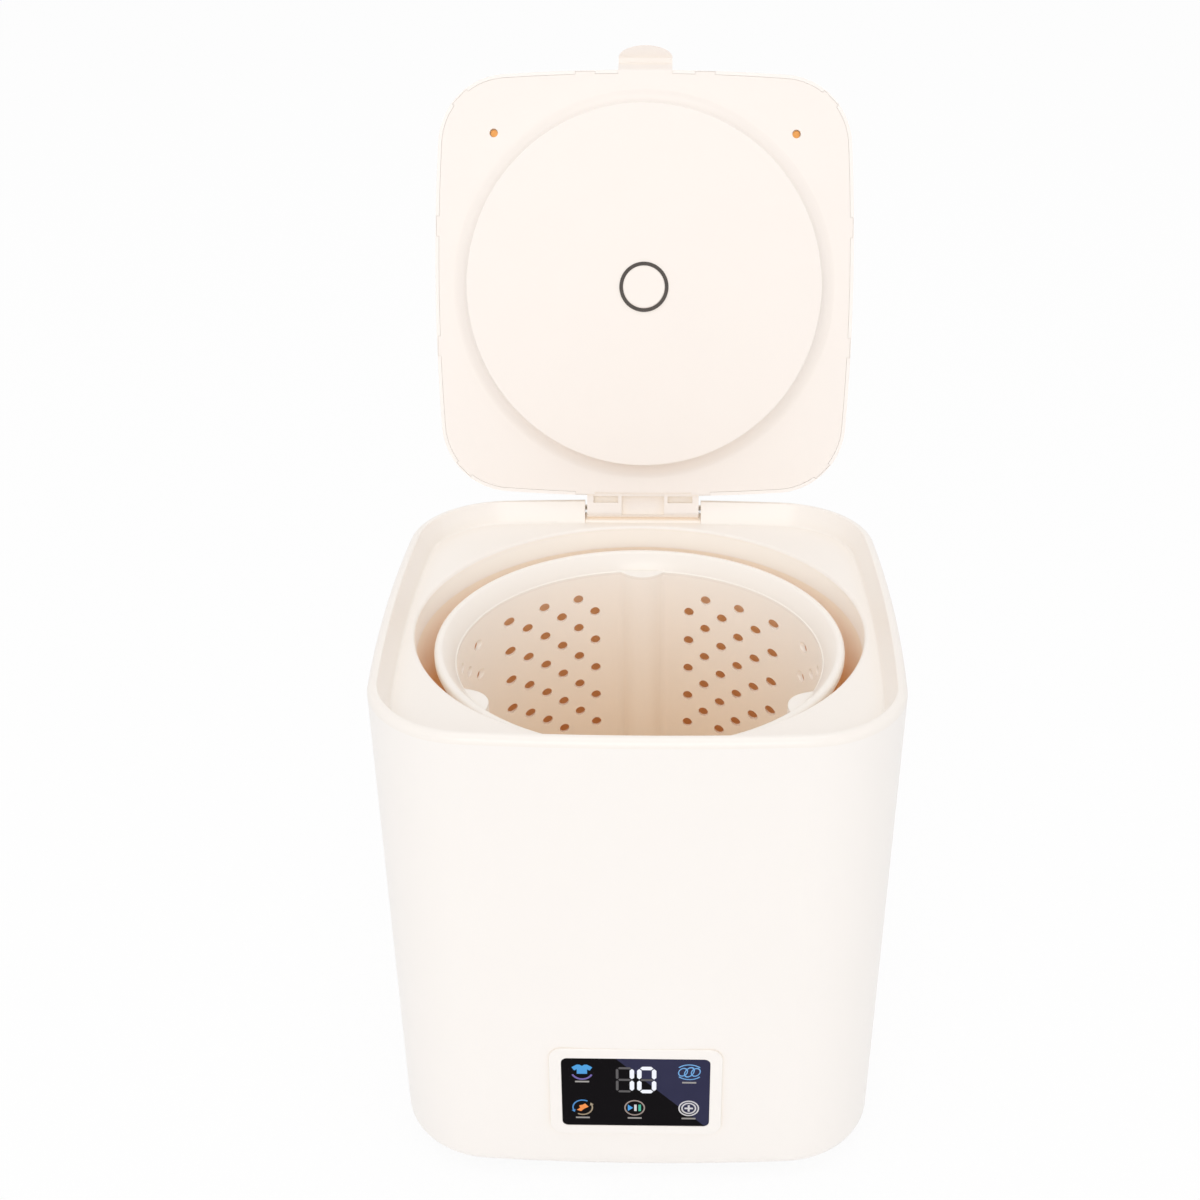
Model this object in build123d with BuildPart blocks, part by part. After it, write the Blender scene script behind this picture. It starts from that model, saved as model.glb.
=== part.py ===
from build123d import *
from math import cos, hypot, radians, sin, sqrt
import os

# Portable washing machine, lid standing open, in millimetres.
# The origin is on the floor under the spin axis, +Z up, and the front faces -Y.

# Cabinet
rim_height = 318.0
foot_height = 8.0
casing_half_top = 150.0
casing_half_bottom = 146.0
bow_centre = 1250.0
corner_inset = 90.0
wall = 2.2
rim_band = 5.0
rim_round = 4.4
rim_inner_round = 0.8
bottom_round = 10.0
base_lip = 20.0
fit_gap = 0.3

# Recess, deck and the round opening
deck_drop = 13.0
deck_thickness = 2.5
recess_half_top = 144.5
recess_half_deck = 138.0
recess_round = 2.0
opening_radius = 132.5
opening_round = 2.0
skirt_depth = 15.0
skirt_wall = 2.2

# Outer tub
tub_gap = 0.5
tub_wall = 2.4
tub_overlap = 8.0
tub_radius_bottom = 130.0
tub_floor_drop = 190.0
tub_floor_thickness = 3.0
tub_corner = 12.0
ear_radius = 150.0
ear_width = 16.0
ear_thickness = 4.0
post_radius = 5.0
post_length = 8.0

# Spin basket and its balance ring
basket_rim_drop = 24.0
basket_rim_radius = 121.9
basket_mouth_drop = 34.0
basket_radius_top = 109.0
basket_radius_bottom = 106.0
basket_wall = 2.2
basket_floor_drop = 172.0
rib_radius = 15.0
rib_depth = 8.3
rib_blend = 6.0
rib_count = 3
rim_lip = 2.2
rim_roll = 2.6
ring_height = 20.0
ring_taper = 6.0
hole_radius = 3.2
hole_first_column = 31.0
hole_column_pitch = 10.7
hole_columns = 6
hole_rows = 5
hole_row_pitch = 21.0
hole_first_row_drop = 51.0
rim_flat = 4.6
floor_hole_circle = 89.0
floor_hole_count = 12
hub_screw_circle = 45.0

# Impeller
impeller_radius = 82.0
impeller_gap = 3.0
impeller_plate = 3.5
impeller_dome_radius = 27.0
impeller_dome_height = 22.0
vane_count = 4
vane_height = 12.0
vane_end_height = 4.0
vane_reach = 72.0
vane_width = 9.0
vane_round = 3.0
dome_blend = 6.0
impeller_screw_length = 10.0

# Shafts, bearings and clutch housing
shaft_gap = 0.05
shaft_play = 2.0
shaft_end = 3.0
impeller_shaft_radius = 8.0
basket_shaft_radius = 12.5
hub_radius = 60.0
hub_thickness = 4.0
hub_boss_radius = 21.0
hub_boss_height = 9.0
seal_radius = 24.0
clutch_flange_radius = 54.0
clutch_flange_thickness = 6.0
clutch_barrel_radius = 40.0
clutch_upper_height = 23.0
clutch_lower_height = 30.0
upper_bearing_radius = 23.5
lower_bearing_radius = 16.0
bearing_height = 12.0
clutch_bolt_circle = 47.0
clutch_round = 6.6

# Motor and belt drive
motor_x = 65.0
motor_y = 65.0
motor_radius = 37.0
motor_height = 54.0
motor_round = 4.4
motor_shaft_radius = 4.0
motor_bolt_circle = 26.0
bracket_thickness = 3.0
mount_height = 4.0
large_pulley_radius = 46.0
small_pulley_radius = 12.5
pulley_height = 12.0
pulley_flange = 4.0
pulley_flange_thickness = 1.2
pulley_level = 43.0
pulley_web = 4.0
pulley_hub_radius = 15.0
pulley_seat_radius = 6.0
pulley_hole_count = 5
pulley_hole_radius = 7.5
nut_radius = 10.8
nut_height = 6.0
end_cap_height = 5.0
end_cap_chamfer = 2.2
belt_thickness = 3.0

# Lid
lid_half = 135.0
lid_centre_y = -2.5
lid_gap = 1.0
lid_height = 14.0
lid_wall = 2.2
lid_edge_round = 5.0
lid_swing = 110.0
panel_gap = 0.15
plug_radius = 114.3
plug_depth = 7.0
plug_flare = 9.0
plug_draft = 2.6
plug_edge = 0.8
plug_skirt = 10.0
cap_radius = 13.5
cap_inset = 1.6
cap_crown = 0.8
cap_boss_radius = 19.0
cap_seal_width = 2.3
lid_screw_x = 96.5
lid_screw_reach = 96.0
lid_screw_hole = 2.7
lid_screw_radius = 1.3
lid_screw_depth = 2.6
lid_head_level = 6.0
lid_post_level = 8.0
lid_tube_radius = 4.5
tab_width = 34.4
tab_flat = 9.3
tab_lip = 7.0
tab_lip_drop = 4.0
tab_thickness = 1.6
clip_length = 12.5
clip_depth = 1.0
clip_side = 38.0

# Hinge
pivot_inset = 7.0
pivot_drop = 7.0
knuckle_radius = 3.8
block_thickness = 6.2
hinge_pin_radius = 1.5
hinge_pin_reach = 6.0
hinge_pin_chamfer = 0.3
block_width = 73.6
notch_width = 76.6
boss_width = 8.0
middle_pocket_width = 28.0
end_pocket_width = 16.3
end_pocket_height = 4.4
end_pocket_x = 24.5
pocket_depth = 4.0

# Control panel on the front
bezel_width = 101.0
bezel_height = 66.5
bezel_corner = 8.0
bezel_proud = 1.0
panel_level = 72.7
glass_width = 86.4
glass_height = 52.4
glass_corner = 3.5
glass_thickness = 2.0
glass_recess = 0.2
glass_ledge = 3.3
window_inset = 3.0
bezel_edge = 0.9
bezel_depth = 6.2
board_thickness = 1.6
digit_width = 27.0
digit_height = 23.0
digit_rise = 10.0

# Drain, power inlet and electronics
drain_x = -72.0
drain_y = 58.0
drain_hose_radius = 9.0
drain_bore = 6.0
drain_level = 40.0
drain_bend = 26.0
valve_radius = 19.0
valve_height = 26.0
coil_radius = 10.0
coil_length = 28.0
coil_chamfer = 1.0
hose_end = 126.0
spigot_radius = 8.5
spigot_length = 34.0
spigot_flange = 4.4
spigot_chamfer = 1.0
inlet_x = 76.0
inlet_level = 42.0
inlet_width = 27.0
inlet_height = 17.0
inlet_depth = 26.0
inlet_flange = 3.3
socket_width = 19.0
socket_height = 9.5
socket_depth = 15.0
contact_pitch = 8.6
contact_radius = 1.3
contact_length = 14.0
contact_root = 4.0
box_length = 112.0
box_depth = 58.0
box_height = 22.0
box_corner = 5.0
box_cover_chamfer = 0.7
box_y = -88.0
board_post_x = 80.0
board_post_y = 30.0
relay_x = -28.0
relay_width = 19.0
relay_length = 29.0
capacitor_x = 22.0
capacitor_radius = 7.0
component_height = 7.3

# Fasteners and feet
foot_radius = 13.0
foot_spacing = 190.0
screw_radius = 2.0
screw_head_radius = 4.0
screw_head_height = 2.4
foot_stem_radius = 3.0
foot_barb = 0.8
foot_barb_height = 3.0
vent_y = 10.0
vent_pitch = 9.0
vent_count = 9
vent_length = 60.0
vent_width = 4.0

# Levels and places that follow from the sizes above
casing_bottom = foot_height
base_top = casing_bottom + 2 * wall
seam_level = rim_height - rim_band
deck_level = rim_height - deck_drop
deck_underside = deck_level - deck_thickness
skirt_bottom = deck_level - skirt_depth
lip_screw_radius = casing_half_bottom - (bottom_round + base_lip) / 2
casing_screw_length = 2 * wall + post_length - 2 * screw_radius

tub_top = skirt_bottom + tub_overlap
tub_floor = rim_height - tub_floor_drop
tub_underside = tub_floor - tub_floor_thickness
tub_radius_top = opening_radius + skirt_wall + tub_gap
ear_top = deck_underside - post_length
ear_inner = tub_radius_top
ear_outer = ear_radius + ear_width / 2
tub_screw_length = ear_thickness + post_length - screw_radius

basket_rim_level = rim_height - basket_rim_drop
basket_mouth_level = rim_height - basket_mouth_drop
basket_wall_top = basket_mouth_level - rim_lip
basket_floor = rim_height - basket_floor_drop
basket_underside = basket_floor - basket_wall
ring_bore = basket_radius_top + basket_wall + fit_gap
cap_inner = basket_radius_top - 2 * rib_depth
hole_start = basket_radius_bottom / 2
hub_screw_length = hub_thickness + basket_wall - fit_gap

impeller_bottom = basket_floor + impeller_gap
impeller_top = impeller_bottom + impeller_plate
impeller_crown = impeller_bottom + impeller_dome_height
impeller_shaft_top = impeller_bottom + impeller_dome_height / 2
impeller_screw_reach = impeller_plate + impeller_screw_length - fit_gap

flange_underside = tub_underside - clutch_flange_thickness
clutch_middle = flange_underside - clutch_upper_height
clutch_bottom = clutch_middle - clutch_lower_height
basket_shaft_bottom = clutch_middle - 4 * shaft_play
bracket_underside = flange_underside - bracket_thickness
bolt_reach = bracket_thickness + clutch_flange_thickness + tub_floor_thickness - 2 * fit_gap
motor_top = bracket_underside - mount_height
motor_bottom = motor_top - motor_height
motor_bolt_reach = bracket_thickness + mount_height + 2 * screw_head_radius - fit_gap
pulley_top = pulley_level + pulley_height
belt_bottom = pulley_level + pulley_flange_thickness + fit_gap
belt_width = pulley_height - 2 * pulley_flange_thickness - 2 * fit_gap
stay_share = 1 + (motor_radius - 3 * post_radius) / hypot(motor_x, motor_y)
stay_place = (motor_x * stay_share, motor_y * stay_share)

lid_angle = radians(lid_swing)
lid_closed_level = deck_level + lid_gap
pivot_y = casing_half_top - pivot_inset
pivot_z = rim_height - pivot_drop
pivot_local_y = pivot_y - lid_centre_y
pivot_local_z = pivot_z - lid_closed_level
hinge_back = pivot_y + knuckle_radius
notch_front = recess_half_deck - knuckle_radius
pin_inner_end = block_width / 2 - hinge_pin_reach
pin_outer_end = notch_width / 2 + boss_width - fit_gap
block_root = lid_half - lid_wall - panel_gap - 2 * knuckle_radius
block_bottom = pivot_local_z - knuckle_radius
block_top = block_bottom + block_thickness
tab_bottom = lid_height - tab_thickness
tab_slope = (recess_half_top - recess_half_deck) / deck_drop
tab_bend = -lid_half - tab_flat
tab_end = tab_bend - tab_lip
plug_outer = plug_radius + plug_skirt
cap_seat = cap_inset - plug_depth
lid_screw_length = lid_post_level - lid_head_level + lid_screw_depth - fit_gap
lid_screw_places = [(-lid_screw_x, -lid_screw_reach), (lid_screw_x, -lid_screw_reach)]

window_width = bezel_width - 2 * window_inset
window_height = bezel_height - 2 * window_inset
window_corner = bezel_corner - window_inset
glass_seat_width = glass_width + 2 * panel_gap
glass_seat_height = glass_height + 2 * panel_gap
valve_middle = tub_underside - valve_height / 2
inlet_face = casing_half_bottom + wall


def casing_half(level):
    """Half the cabinet's width at a level, along its drafted side."""
    share = (level - casing_bottom) / (seam_level - casing_bottom)
    return casing_half_bottom + (casing_half_top - casing_half_bottom) * share


bezel_front = -casing_half(panel_level) - bezel_proud
glass_front = bezel_front + glass_recess
board_front = bezel_front + bezel_depth


def recess_half(level):
    """Half the width of the lid recess at a level, along its sloping wall."""
    share = (level - deck_level) / deck_drop
    return recess_half_deck + (recess_half_top - recess_half_deck) * share


def bowed_square(half):
    """A square outline with bowed sides and round corners.

    Outlines of different size share their arc centres, so they lie at an even distance.
    """
    reach = bow_centre + corner_inset
    corner_centre = (sqrt(2 * reach**2 - bow_centre**2) - bow_centre) / 2
    side_radius = bow_centre + half
    corner_middle = corner_centre + (half - corner_inset) / sqrt(2)
    tangent_x = side_radius * corner_centre / reach
    tangent_y = side_radius * (corner_centre + bow_centre) / reach - bow_centre
    with BuildSketch() as outline:
        with BuildLine():
            for quarter in range(4):
                turn = Rotation(0, 0, -90 * quarter)
                side = [(-tangent_x, tangent_y), (0, half), (tangent_x, tangent_y)]
                corner = [(tangent_x, tangent_y), (corner_middle, corner_middle), (tangent_y, tangent_x)]
                for points in (side, corner):
                    ThreePointArc(*[(turn * Pos(x, y)).position for x, y in points])
        make_face()
    return outline.sketch


def lobed_circle(radius, lobe_radius, lobe_centre, blend):
    """A circle with one round bay per basket rib."""
    with BuildSketch() as outline:
        Circle(radius)
        with PolarLocations(lobe_centre, rib_count, start_angle=90):
            Circle(lobe_radius, mode=Mode.SUBTRACT)
        corners = [v for v in outline.vertices() if abs(Vector(v).length - radius) < 0.01]
        fillet([v for v in corners if on_bay(v, lobe_radius, lobe_centre)], blend)
    return outline.sketch


def on_bay(vertex, lobe_radius, lobe_centre):
    """Whether a vertex of the lobed circle lies where a bay meets the circle."""
    for rib in range(rib_count):
        angle = radians(90 + 360 / rib_count * rib)
        centre = Vector(lobe_centre * cos(angle), lobe_centre * sin(angle))
        if abs((Vector(vertex) - centre).length - lobe_radius) < 0.01:
            return True
    return False


def opened(y, z):
    """Where a point of the closed lid, seen from the side, lies on the open lid."""
    dy = y - pivot_y
    dz = z - pivot_z
    return (
        pivot_y + dy * cos(lid_angle) + dz * sin(lid_angle),
        pivot_z - dy * sin(lid_angle) + dz * cos(lid_angle),
    )


def casing_block():
    """The outer form of the casing, filled."""
    with BuildPart() as block:
        with BuildSketch(Plane.XY.offset(casing_bottom)):
            add(bowed_square(casing_half_bottom))
        with BuildSketch(Plane.XY.offset(seam_level)):
            add(bowed_square(casing_half_top))
        loft(ruled=True)
    return block.part


def nearest(sketch, x, y):
    """The corner of the open sketch that is nearest to a point."""
    return sketch.vertices().sort_by_distance((x, y))[0]


def pulley_outline(bore, groove):
    """Half the section of a flanged pulley, from its bore to its groove."""
    flange = groove + pulley_flange
    return [
        (bore, pulley_level),
        (flange, pulley_level),
        (flange, pulley_level + pulley_flange_thickness),
        (groove, pulley_level + pulley_flange_thickness),
        (groove, pulley_top - pulley_flange_thickness),
        (flange, pulley_top - pulley_flange_thickness),
        (flange, pulley_top),
        (bore, pulley_top),
    ]


def pan_screw(shank_radius, head_radius, head_height, length):
    """A screw at the current places, its head below them and its shank above."""
    Cylinder(head_radius, head_height, align=(Align.CENTER, Align.CENTER, Align.MAX))
    Cylinder(shank_radius, length, align=(Align.CENTER, Align.CENTER, Align.MIN))


def save(piece, name):
    """Label a finished piece and write its STEP file."""
    piece.part.label = name
    export_step(piece.part, f"parts/{name}.step")


os.makedirs("parts", exist_ok=True)

# The lid's own planes: x along the hinge, y towards it, z out of the lid's outer side
lid_plane = Plane(
    origin=(0, *opened(lid_centre_y, lid_closed_level)),
    x_dir=(1, 0, 0),
    z_dir=(0, sin(lid_angle), cos(lid_angle)),
)
lid_axis = Axis(lid_plane.origin, lid_plane.z_dir)
lid_side_plane = Plane(origin=lid_plane.origin, x_dir=lid_plane.y_dir, z_dir=lid_plane.x_dir)
lid_front_plane = Plane(origin=lid_plane.origin, x_dir=lid_plane.x_dir, z_dir=-lid_plane.y_dir)

# Snap clips all round the lid: two a side and one at each corner
clip_places = []
clip_line = lid_half - lid_wall
clip_corner = (sqrt(2 * (bow_centre + corner_inset) ** 2 - bow_centre**2) - bow_centre) / 2
clip_corner = clip_corner + (clip_line - corner_inset) / sqrt(2)
for quarter in range(4):
    turn = Rotation(0, 0, 90 * quarter)
    for slide in (-clip_side, clip_side):
        clip_places.append(turn * Pos(slide, -clip_line))
    clip_places.append(turn * Pos(clip_corner, -clip_corner) * Rotation(0, 0, 45))

# Drain holes: rows at an even pitch across each rib's slide, every other column half a row up
hole_places = []
for column in range(hole_columns):
    for row in range(hole_rows):
        drop = hole_first_row_drop + hole_row_pitch * (row + (0.5 if column % 2 == 0 else 0.0))
        offset_across = hole_first_column + hole_column_pitch * column
        for side in (-1, 1):
            hole_places.append((rim_height - drop, side * offset_across))

# Outer casing: a drafted shell, rounded at the foot, open at the top and under the base
with BuildPart() as outer_casing:
    add(casing_block())
    fillet(outer_casing.edges().group_by(Axis.Z)[0], bottom_round)
    offset(amount=-wall, openings=outer_casing.faces().sort_by(Axis.Z)[-1])
    with BuildSketch(Plane.XY.offset(casing_bottom)):
        add(bowed_square(casing_half_bottom - base_lip))
        with PolarLocations(lip_screw_radius, 4):
            Circle(screw_radius + shaft_gap)
    extrude(amount=wall, mode=Mode.SUBTRACT)
    with BuildSketch(Plane.XZ.offset(casing_half_bottom - 2 * wall)):
        with Locations((0, panel_level)):
            RectangleRounded(window_width, window_height, window_corner)
    extrude(amount=4 * wall, mode=Mode.SUBTRACT)
    with BuildSketch(Plane.XZ.offset(-casing_half_top)):
        with Locations((drain_x, drain_level)):
            Circle(spigot_radius + fit_gap)
        with Locations((inlet_x, inlet_level)):
            Rectangle(inlet_width + 2 * fit_gap, inlet_height + 2 * fit_gap)
    extrude(amount=6 * wall, mode=Mode.SUBTRACT)
save(outer_casing, "outer_casing")

# Top deck: rolled rim, sloping recess wall, deck with the round opening and its skirt
with BuildPart() as top_deck:
    with BuildSketch(Plane.XY.offset(seam_level)):
        add(bowed_square(casing_half_top))
    extrude(amount=rim_band)
    fillet(top_deck.edges().group_by(Axis.Z)[-1], rim_round)
    with BuildSketch(Plane.XY.offset(deck_underside)):
        add(bowed_square(recess_half_deck + wall))
    with BuildSketch(Plane.XY.offset(seam_level)):
        add(bowed_square(recess_half(seam_level) + wall))
    loft(ruled=True)
    with BuildSketch(Plane.XY.offset(deck_underside)):
        with Locations((0, (recess_half_deck + hinge_back) / 2)):
            Rectangle(notch_width + 2 * boss_width, hinge_back - recess_half_deck)
    extrude(amount=deck_thickness)
    with BuildSketch(Plane.XY.offset(deck_underside)):
        for side in (-1, 1):
            with Locations((side * (notch_width + boss_width) / 2, (recess_half_deck + hinge_back) / 2)):
                Rectangle(boss_width, hinge_back - recess_half_deck)
    extrude(amount=seam_level - deck_underside)
    with BuildSketch(Plane.XY.offset(deck_underside)):
        with PolarLocations(ear_radius, 4, start_angle=45):
            Circle(post_radius)
    extrude(amount=-post_length)
    with BuildSketch(Plane.XY.offset(skirt_bottom)):
        Circle(opening_radius + skirt_wall)
    extrude(amount=deck_underside - skirt_bottom)
    with BuildSketch(Plane.XY.offset(deck_level)):
        add(bowed_square(recess_half_deck))
    with BuildSketch(Plane.XY.offset(rim_height)):
        add(bowed_square(recess_half_top))
    loft(ruled=True, mode=Mode.SUBTRACT)
    fillet(top_deck.edges().filter_by_position(Axis.Z, deck_level, deck_level), recess_round)
    fillet(top_deck.edges().group_by(Axis.Z)[-1], rim_inner_round)
    with BuildSketch(Plane.XY.offset(skirt_bottom)):
        Circle(opening_radius)
    extrude(amount=rim_height - skirt_bottom, mode=Mode.SUBTRACT)
    mouth = top_deck.edges().filter_by(GeomType.CIRCLE).filter_by_position(Axis.Z, deck_level, deck_level)
    fillet(mouth.filter_by(lambda edge: abs(edge.radius - opening_radius) < 0.01), opening_round)
    with BuildSketch(Plane.XY.offset(deck_level)):
        with Locations((0, (notch_front + casing_half_top + wall) / 2)):
            Rectangle(notch_width, casing_half_top + wall - notch_front)
    extrude(amount=rim_height - deck_level + wall, mode=Mode.SUBTRACT)
    with BuildSketch(Plane.YZ):
        with Locations((pivot_y, pivot_z)):
            Circle(hinge_pin_radius + shaft_gap)
    extrude(amount=pin_outer_end, both=True, mode=Mode.SUBTRACT)
    with BuildSketch(Plane.XY.offset(deck_underside - post_length)):
        with PolarLocations(ear_radius, 4, start_angle=45):
            Circle(screw_radius + shaft_gap)
    extrude(amount=post_length, mode=Mode.SUBTRACT)
save(top_deck, "top_deck")

# Hinge pins: pressed into the bosses at both ends of the notch
for side, name in ((-1, "hinge_pin_left"), (1, "hinge_pin_right")):
    with BuildPart() as hinge_pin:
        with BuildSketch(Plane.YZ.offset(side * pin_inner_end)):
            with Locations((pivot_y, pivot_z)):
                Circle(hinge_pin_radius)
        extrude(amount=side * (pin_outer_end - pin_inner_end))
        chamfer(hinge_pin.edges(), hinge_pin_chamfer)
    save(hinge_pin, name)

# Base pan: a plate on the casing's lip, with a step that fills the opening
with BuildPart() as base_pan:
    with BuildSketch(Plane.XY.offset(casing_bottom + wall)):
        add(bowed_square(casing_half_bottom - bottom_round - fit_gap))
    extrude(amount=wall)
    with BuildSketch(Plane.XY.offset(casing_bottom)):
        add(bowed_square(casing_half_bottom - base_lip - fit_gap))
    extrude(amount=wall)
    with BuildSketch(Plane.XY.offset(base_top)):
        with PolarLocations(lip_screw_radius, 4):
            Circle(screw_head_radius)
    extrude(amount=post_length)
    with BuildSketch(Plane.XY.offset(casing_bottom)):
        with PolarLocations(lip_screw_radius, 4):
            Circle(screw_radius + shaft_gap)
    extrude(amount=2 * wall + post_length - screw_radius, mode=Mode.SUBTRACT)
    with BuildSketch(Plane.XY.offset(casing_bottom)):
        with GridLocations(foot_spacing, foot_spacing, 2, 2):
            Circle(foot_stem_radius + shaft_gap)
    extrude(amount=2 * wall, mode=Mode.SUBTRACT)
    with BuildSketch(Plane.XY.offset(casing_bottom)):
        with Locations((0, vent_y)):
            with GridLocations(vent_pitch, 0, vent_count, 1):
                SlotOverall(vent_length, vent_width, rotation=90)
    extrude(amount=2 * wall, mode=Mode.SUBTRACT)
save(base_pan, "base_pan")

with BuildPart() as casing_screws:
    with PolarLocations(lip_screw_radius, 4):
        with Locations((0, 0, casing_bottom)):
            pan_screw(screw_radius, screw_head_radius, screw_head_height, casing_screw_length)
save(casing_screws, "casing_screws")

# Feet: rubber pads, each held by a barbed stem pushed through the base pan
for column, side in ((-1, "left"), (1, "right")):
    for row, end in ((-1, "front"), (1, "rear")):
        foot_place = Location((column * foot_spacing / 2, row * foot_spacing / 2))
        with BuildPart() as foot:
            with BuildSketch():
                with Locations(foot_place):
                    Circle(foot_radius)
            extrude(amount=foot_height)
            with BuildSketch(Plane.XY.offset(foot_height)):
                with Locations(foot_place):
                    Circle(foot_stem_radius)
            extrude(amount=2 * wall)
            with BuildSketch(Plane.XY.offset(base_top)):
                with Locations(foot_place):
                    Circle(foot_stem_radius + foot_barb)
            extrude(amount=foot_barb_height)
            chamfer(foot.edges().group_by(Axis.Z)[-1], foot_barb)
        save(foot, f"foot_{end}_{side}")

# Outer tub: a tapered cup that holds the water, hung from the deck by four ears
with BuildPart() as outer_tub:
    with BuildSketch(Plane.XZ) as tub_profile:
        with BuildLine():
            Polyline(
                (0, tub_underside),
                (tub_radius_bottom + tub_wall, tub_underside),
                (tub_radius_top + tub_wall, tub_top),
                (tub_radius_top, tub_top),
                (tub_radius_bottom, tub_floor),
                (0, tub_floor),
                close=True,
            )
        make_face()
        fillet(nearest(tub_profile, tub_radius_bottom + tub_wall, tub_underside), tub_corner + tub_wall)
        fillet(nearest(tub_profile, tub_radius_bottom, tub_floor), tub_corner)
    revolve(axis=Axis.Z)
    with BuildSketch(Plane.XY.offset(ear_top)):
        with PolarLocations((ear_inner + ear_outer) / 2, 4, start_angle=45):
            Rectangle(ear_outer - ear_inner, ear_width)
        with PolarLocations(ear_radius, 4, start_angle=45):
            Circle(screw_radius + shaft_gap, mode=Mode.SUBTRACT)
    extrude(amount=-ear_thickness)
    with BuildSketch(Plane.XY.offset(tub_underside)):
        with Locations(stay_place):
            Circle(post_radius)
    extrude(amount=-clutch_flange_thickness)
    with BuildSketch(Plane.XY.offset(flange_underside)):
        with Locations(stay_place):
            Circle(screw_radius + shaft_gap)
    extrude(amount=clutch_flange_thickness, mode=Mode.SUBTRACT)
    with BuildSketch(Plane.XY.offset(tub_underside)):
        Circle(seal_radius)
        with Locations((drain_x, drain_y)):
            Circle(drain_bore)
    extrude(amount=tub_floor_thickness, mode=Mode.SUBTRACT)
    with BuildSketch(Plane.XY.offset(tub_underside)):
        with PolarLocations(clutch_bolt_circle, 4, start_angle=45):
            Circle(screw_radius + shaft_gap)
    extrude(amount=tub_floor_thickness - fit_gap, mode=Mode.SUBTRACT)
save(outer_tub, "outer_tub")

# Gasket between the tub's edge and the deck
with BuildPart() as tub_gasket:
    with BuildSketch(Plane.XY.offset(tub_top)):
        Circle(tub_radius_top + tub_wall)
        Circle(tub_radius_top, mode=Mode.SUBTRACT)
    extrude(amount=deck_underside - tub_top)
save(tub_gasket, "tub_gasket")

with BuildPart() as tub_screws:
    with PolarLocations(ear_radius, 4, start_angle=45):
        with Locations((0, 0, ear_top - ear_thickness)):
            pan_screw(screw_radius, screw_head_radius, screw_head_height, tub_screw_length)
save(tub_screws, "tub_screws")

# Spin basket: a tapered wall of three hollow ribs, pierced between them
with BuildPart() as spin_basket:
    with BuildSketch(Plane.XY.offset(basket_underside)):
        add(lobed_circle(
            basket_radius_bottom + basket_wall, rib_radius - basket_wall,
            basket_radius_bottom - rib_depth + rib_radius, rib_blend + basket_wall,
        ))
    with BuildSketch(Plane.XY.offset(basket_wall_top)):
        add(lobed_circle(
            basket_radius_top + basket_wall, rib_radius - basket_wall,
            basket_radius_top - rib_depth + rib_radius, rib_blend + basket_wall,
        ))
    loft(ruled=True)
    with BuildSketch(Plane.XY.offset(basket_floor)):
        add(lobed_circle(
            basket_radius_bottom, rib_radius, basket_radius_bottom - rib_depth + rib_radius, rib_blend,
        ))
    with BuildSketch(Plane.XY.offset(basket_wall_top)):
        add(lobed_circle(
            basket_radius_top, rib_radius, basket_radius_top - rib_depth + rib_radius, rib_blend,
        ))
    loft(ruled=True, mode=Mode.SUBTRACT)
    for rib in range(rib_count):
        out = Vector(0, 1).rotate(Axis.Z, 360 / rib_count * rib)
        with BuildSketch(Plane(origin=out * hole_start, x_dir=(0, 0, 1), z_dir=out)):
            with Locations(*hole_places):
                Circle(hole_radius)
        extrude(amount=basket_radius_top + 2 * basket_wall - hole_start, mode=Mode.SUBTRACT)
    with BuildSketch(Plane.XY.offset(basket_underside)):
        Circle(basket_shaft_radius + shaft_gap)
        with PolarLocations(floor_hole_circle, floor_hole_count):
            Circle(hole_radius)
        with PolarLocations(hub_screw_circle, rib_count):
            Circle(screw_radius + shaft_gap)
    extrude(amount=basket_wall, mode=Mode.SUBTRACT)
save(spin_basket, "spin_basket")

# Balance ring: a heavy ring with a funnel-shaped top that caps the ribs
with BuildPart() as balance_ring:
    with BuildSketch(Plane.XZ) as ring_profile:
        with BuildLine():
            Polyline(
                (cap_inner, basket_wall_top),
                (ring_bore, basket_wall_top),
                (ring_bore, basket_rim_level - ring_height),
                (basket_rim_radius - ring_taper, basket_rim_level - ring_height),
                (basket_rim_radius, basket_rim_level - 2 * rim_roll),
                (basket_rim_radius, basket_rim_level),
                (basket_rim_radius - rim_flat, basket_rim_level),
                (basket_radius_top, basket_mouth_level),
                (cap_inner, basket_mouth_level - rim_lip / 3),
                close=True,
            )
        make_face()
        fillet(nearest(ring_profile, basket_rim_radius, basket_rim_level), rim_roll)
        fillet(nearest(ring_profile, basket_rim_radius - rim_flat, basket_rim_level), rim_roll)
        fillet(nearest(ring_profile, basket_radius_top, basket_mouth_level), rim_lip)
    revolve(axis=Axis.Z)
    with BuildSketch(Plane.XY.offset(basket_wall_top)):
        add(lobed_circle(
            basket_radius_top, rib_radius, basket_radius_top - rib_depth + rib_radius, rib_blend,
        ))
    extrude(amount=basket_rim_level - basket_wall_top, mode=Mode.SUBTRACT)
save(balance_ring, "balance_ring")

# Basket hub, its hollow shaft and the screws that hold the basket on it
with BuildPart() as basket_hub:
    with BuildSketch(Plane.XY.offset(basket_underside)):
        Circle(hub_radius)
    extrude(amount=-hub_thickness)
    with BuildSketch(Plane.XY.offset(basket_underside - hub_thickness)):
        Circle(hub_boss_radius)
    extrude(amount=-hub_boss_height)
    with BuildSketch(Plane.XY.offset(basket_underside)):
        Circle(basket_shaft_radius + shaft_gap)
        with PolarLocations(hub_screw_circle, rib_count):
            Circle(screw_radius + shaft_gap)
    extrude(amount=-hub_thickness - hub_boss_height, mode=Mode.SUBTRACT)
save(basket_hub, "basket_hub")

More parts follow.
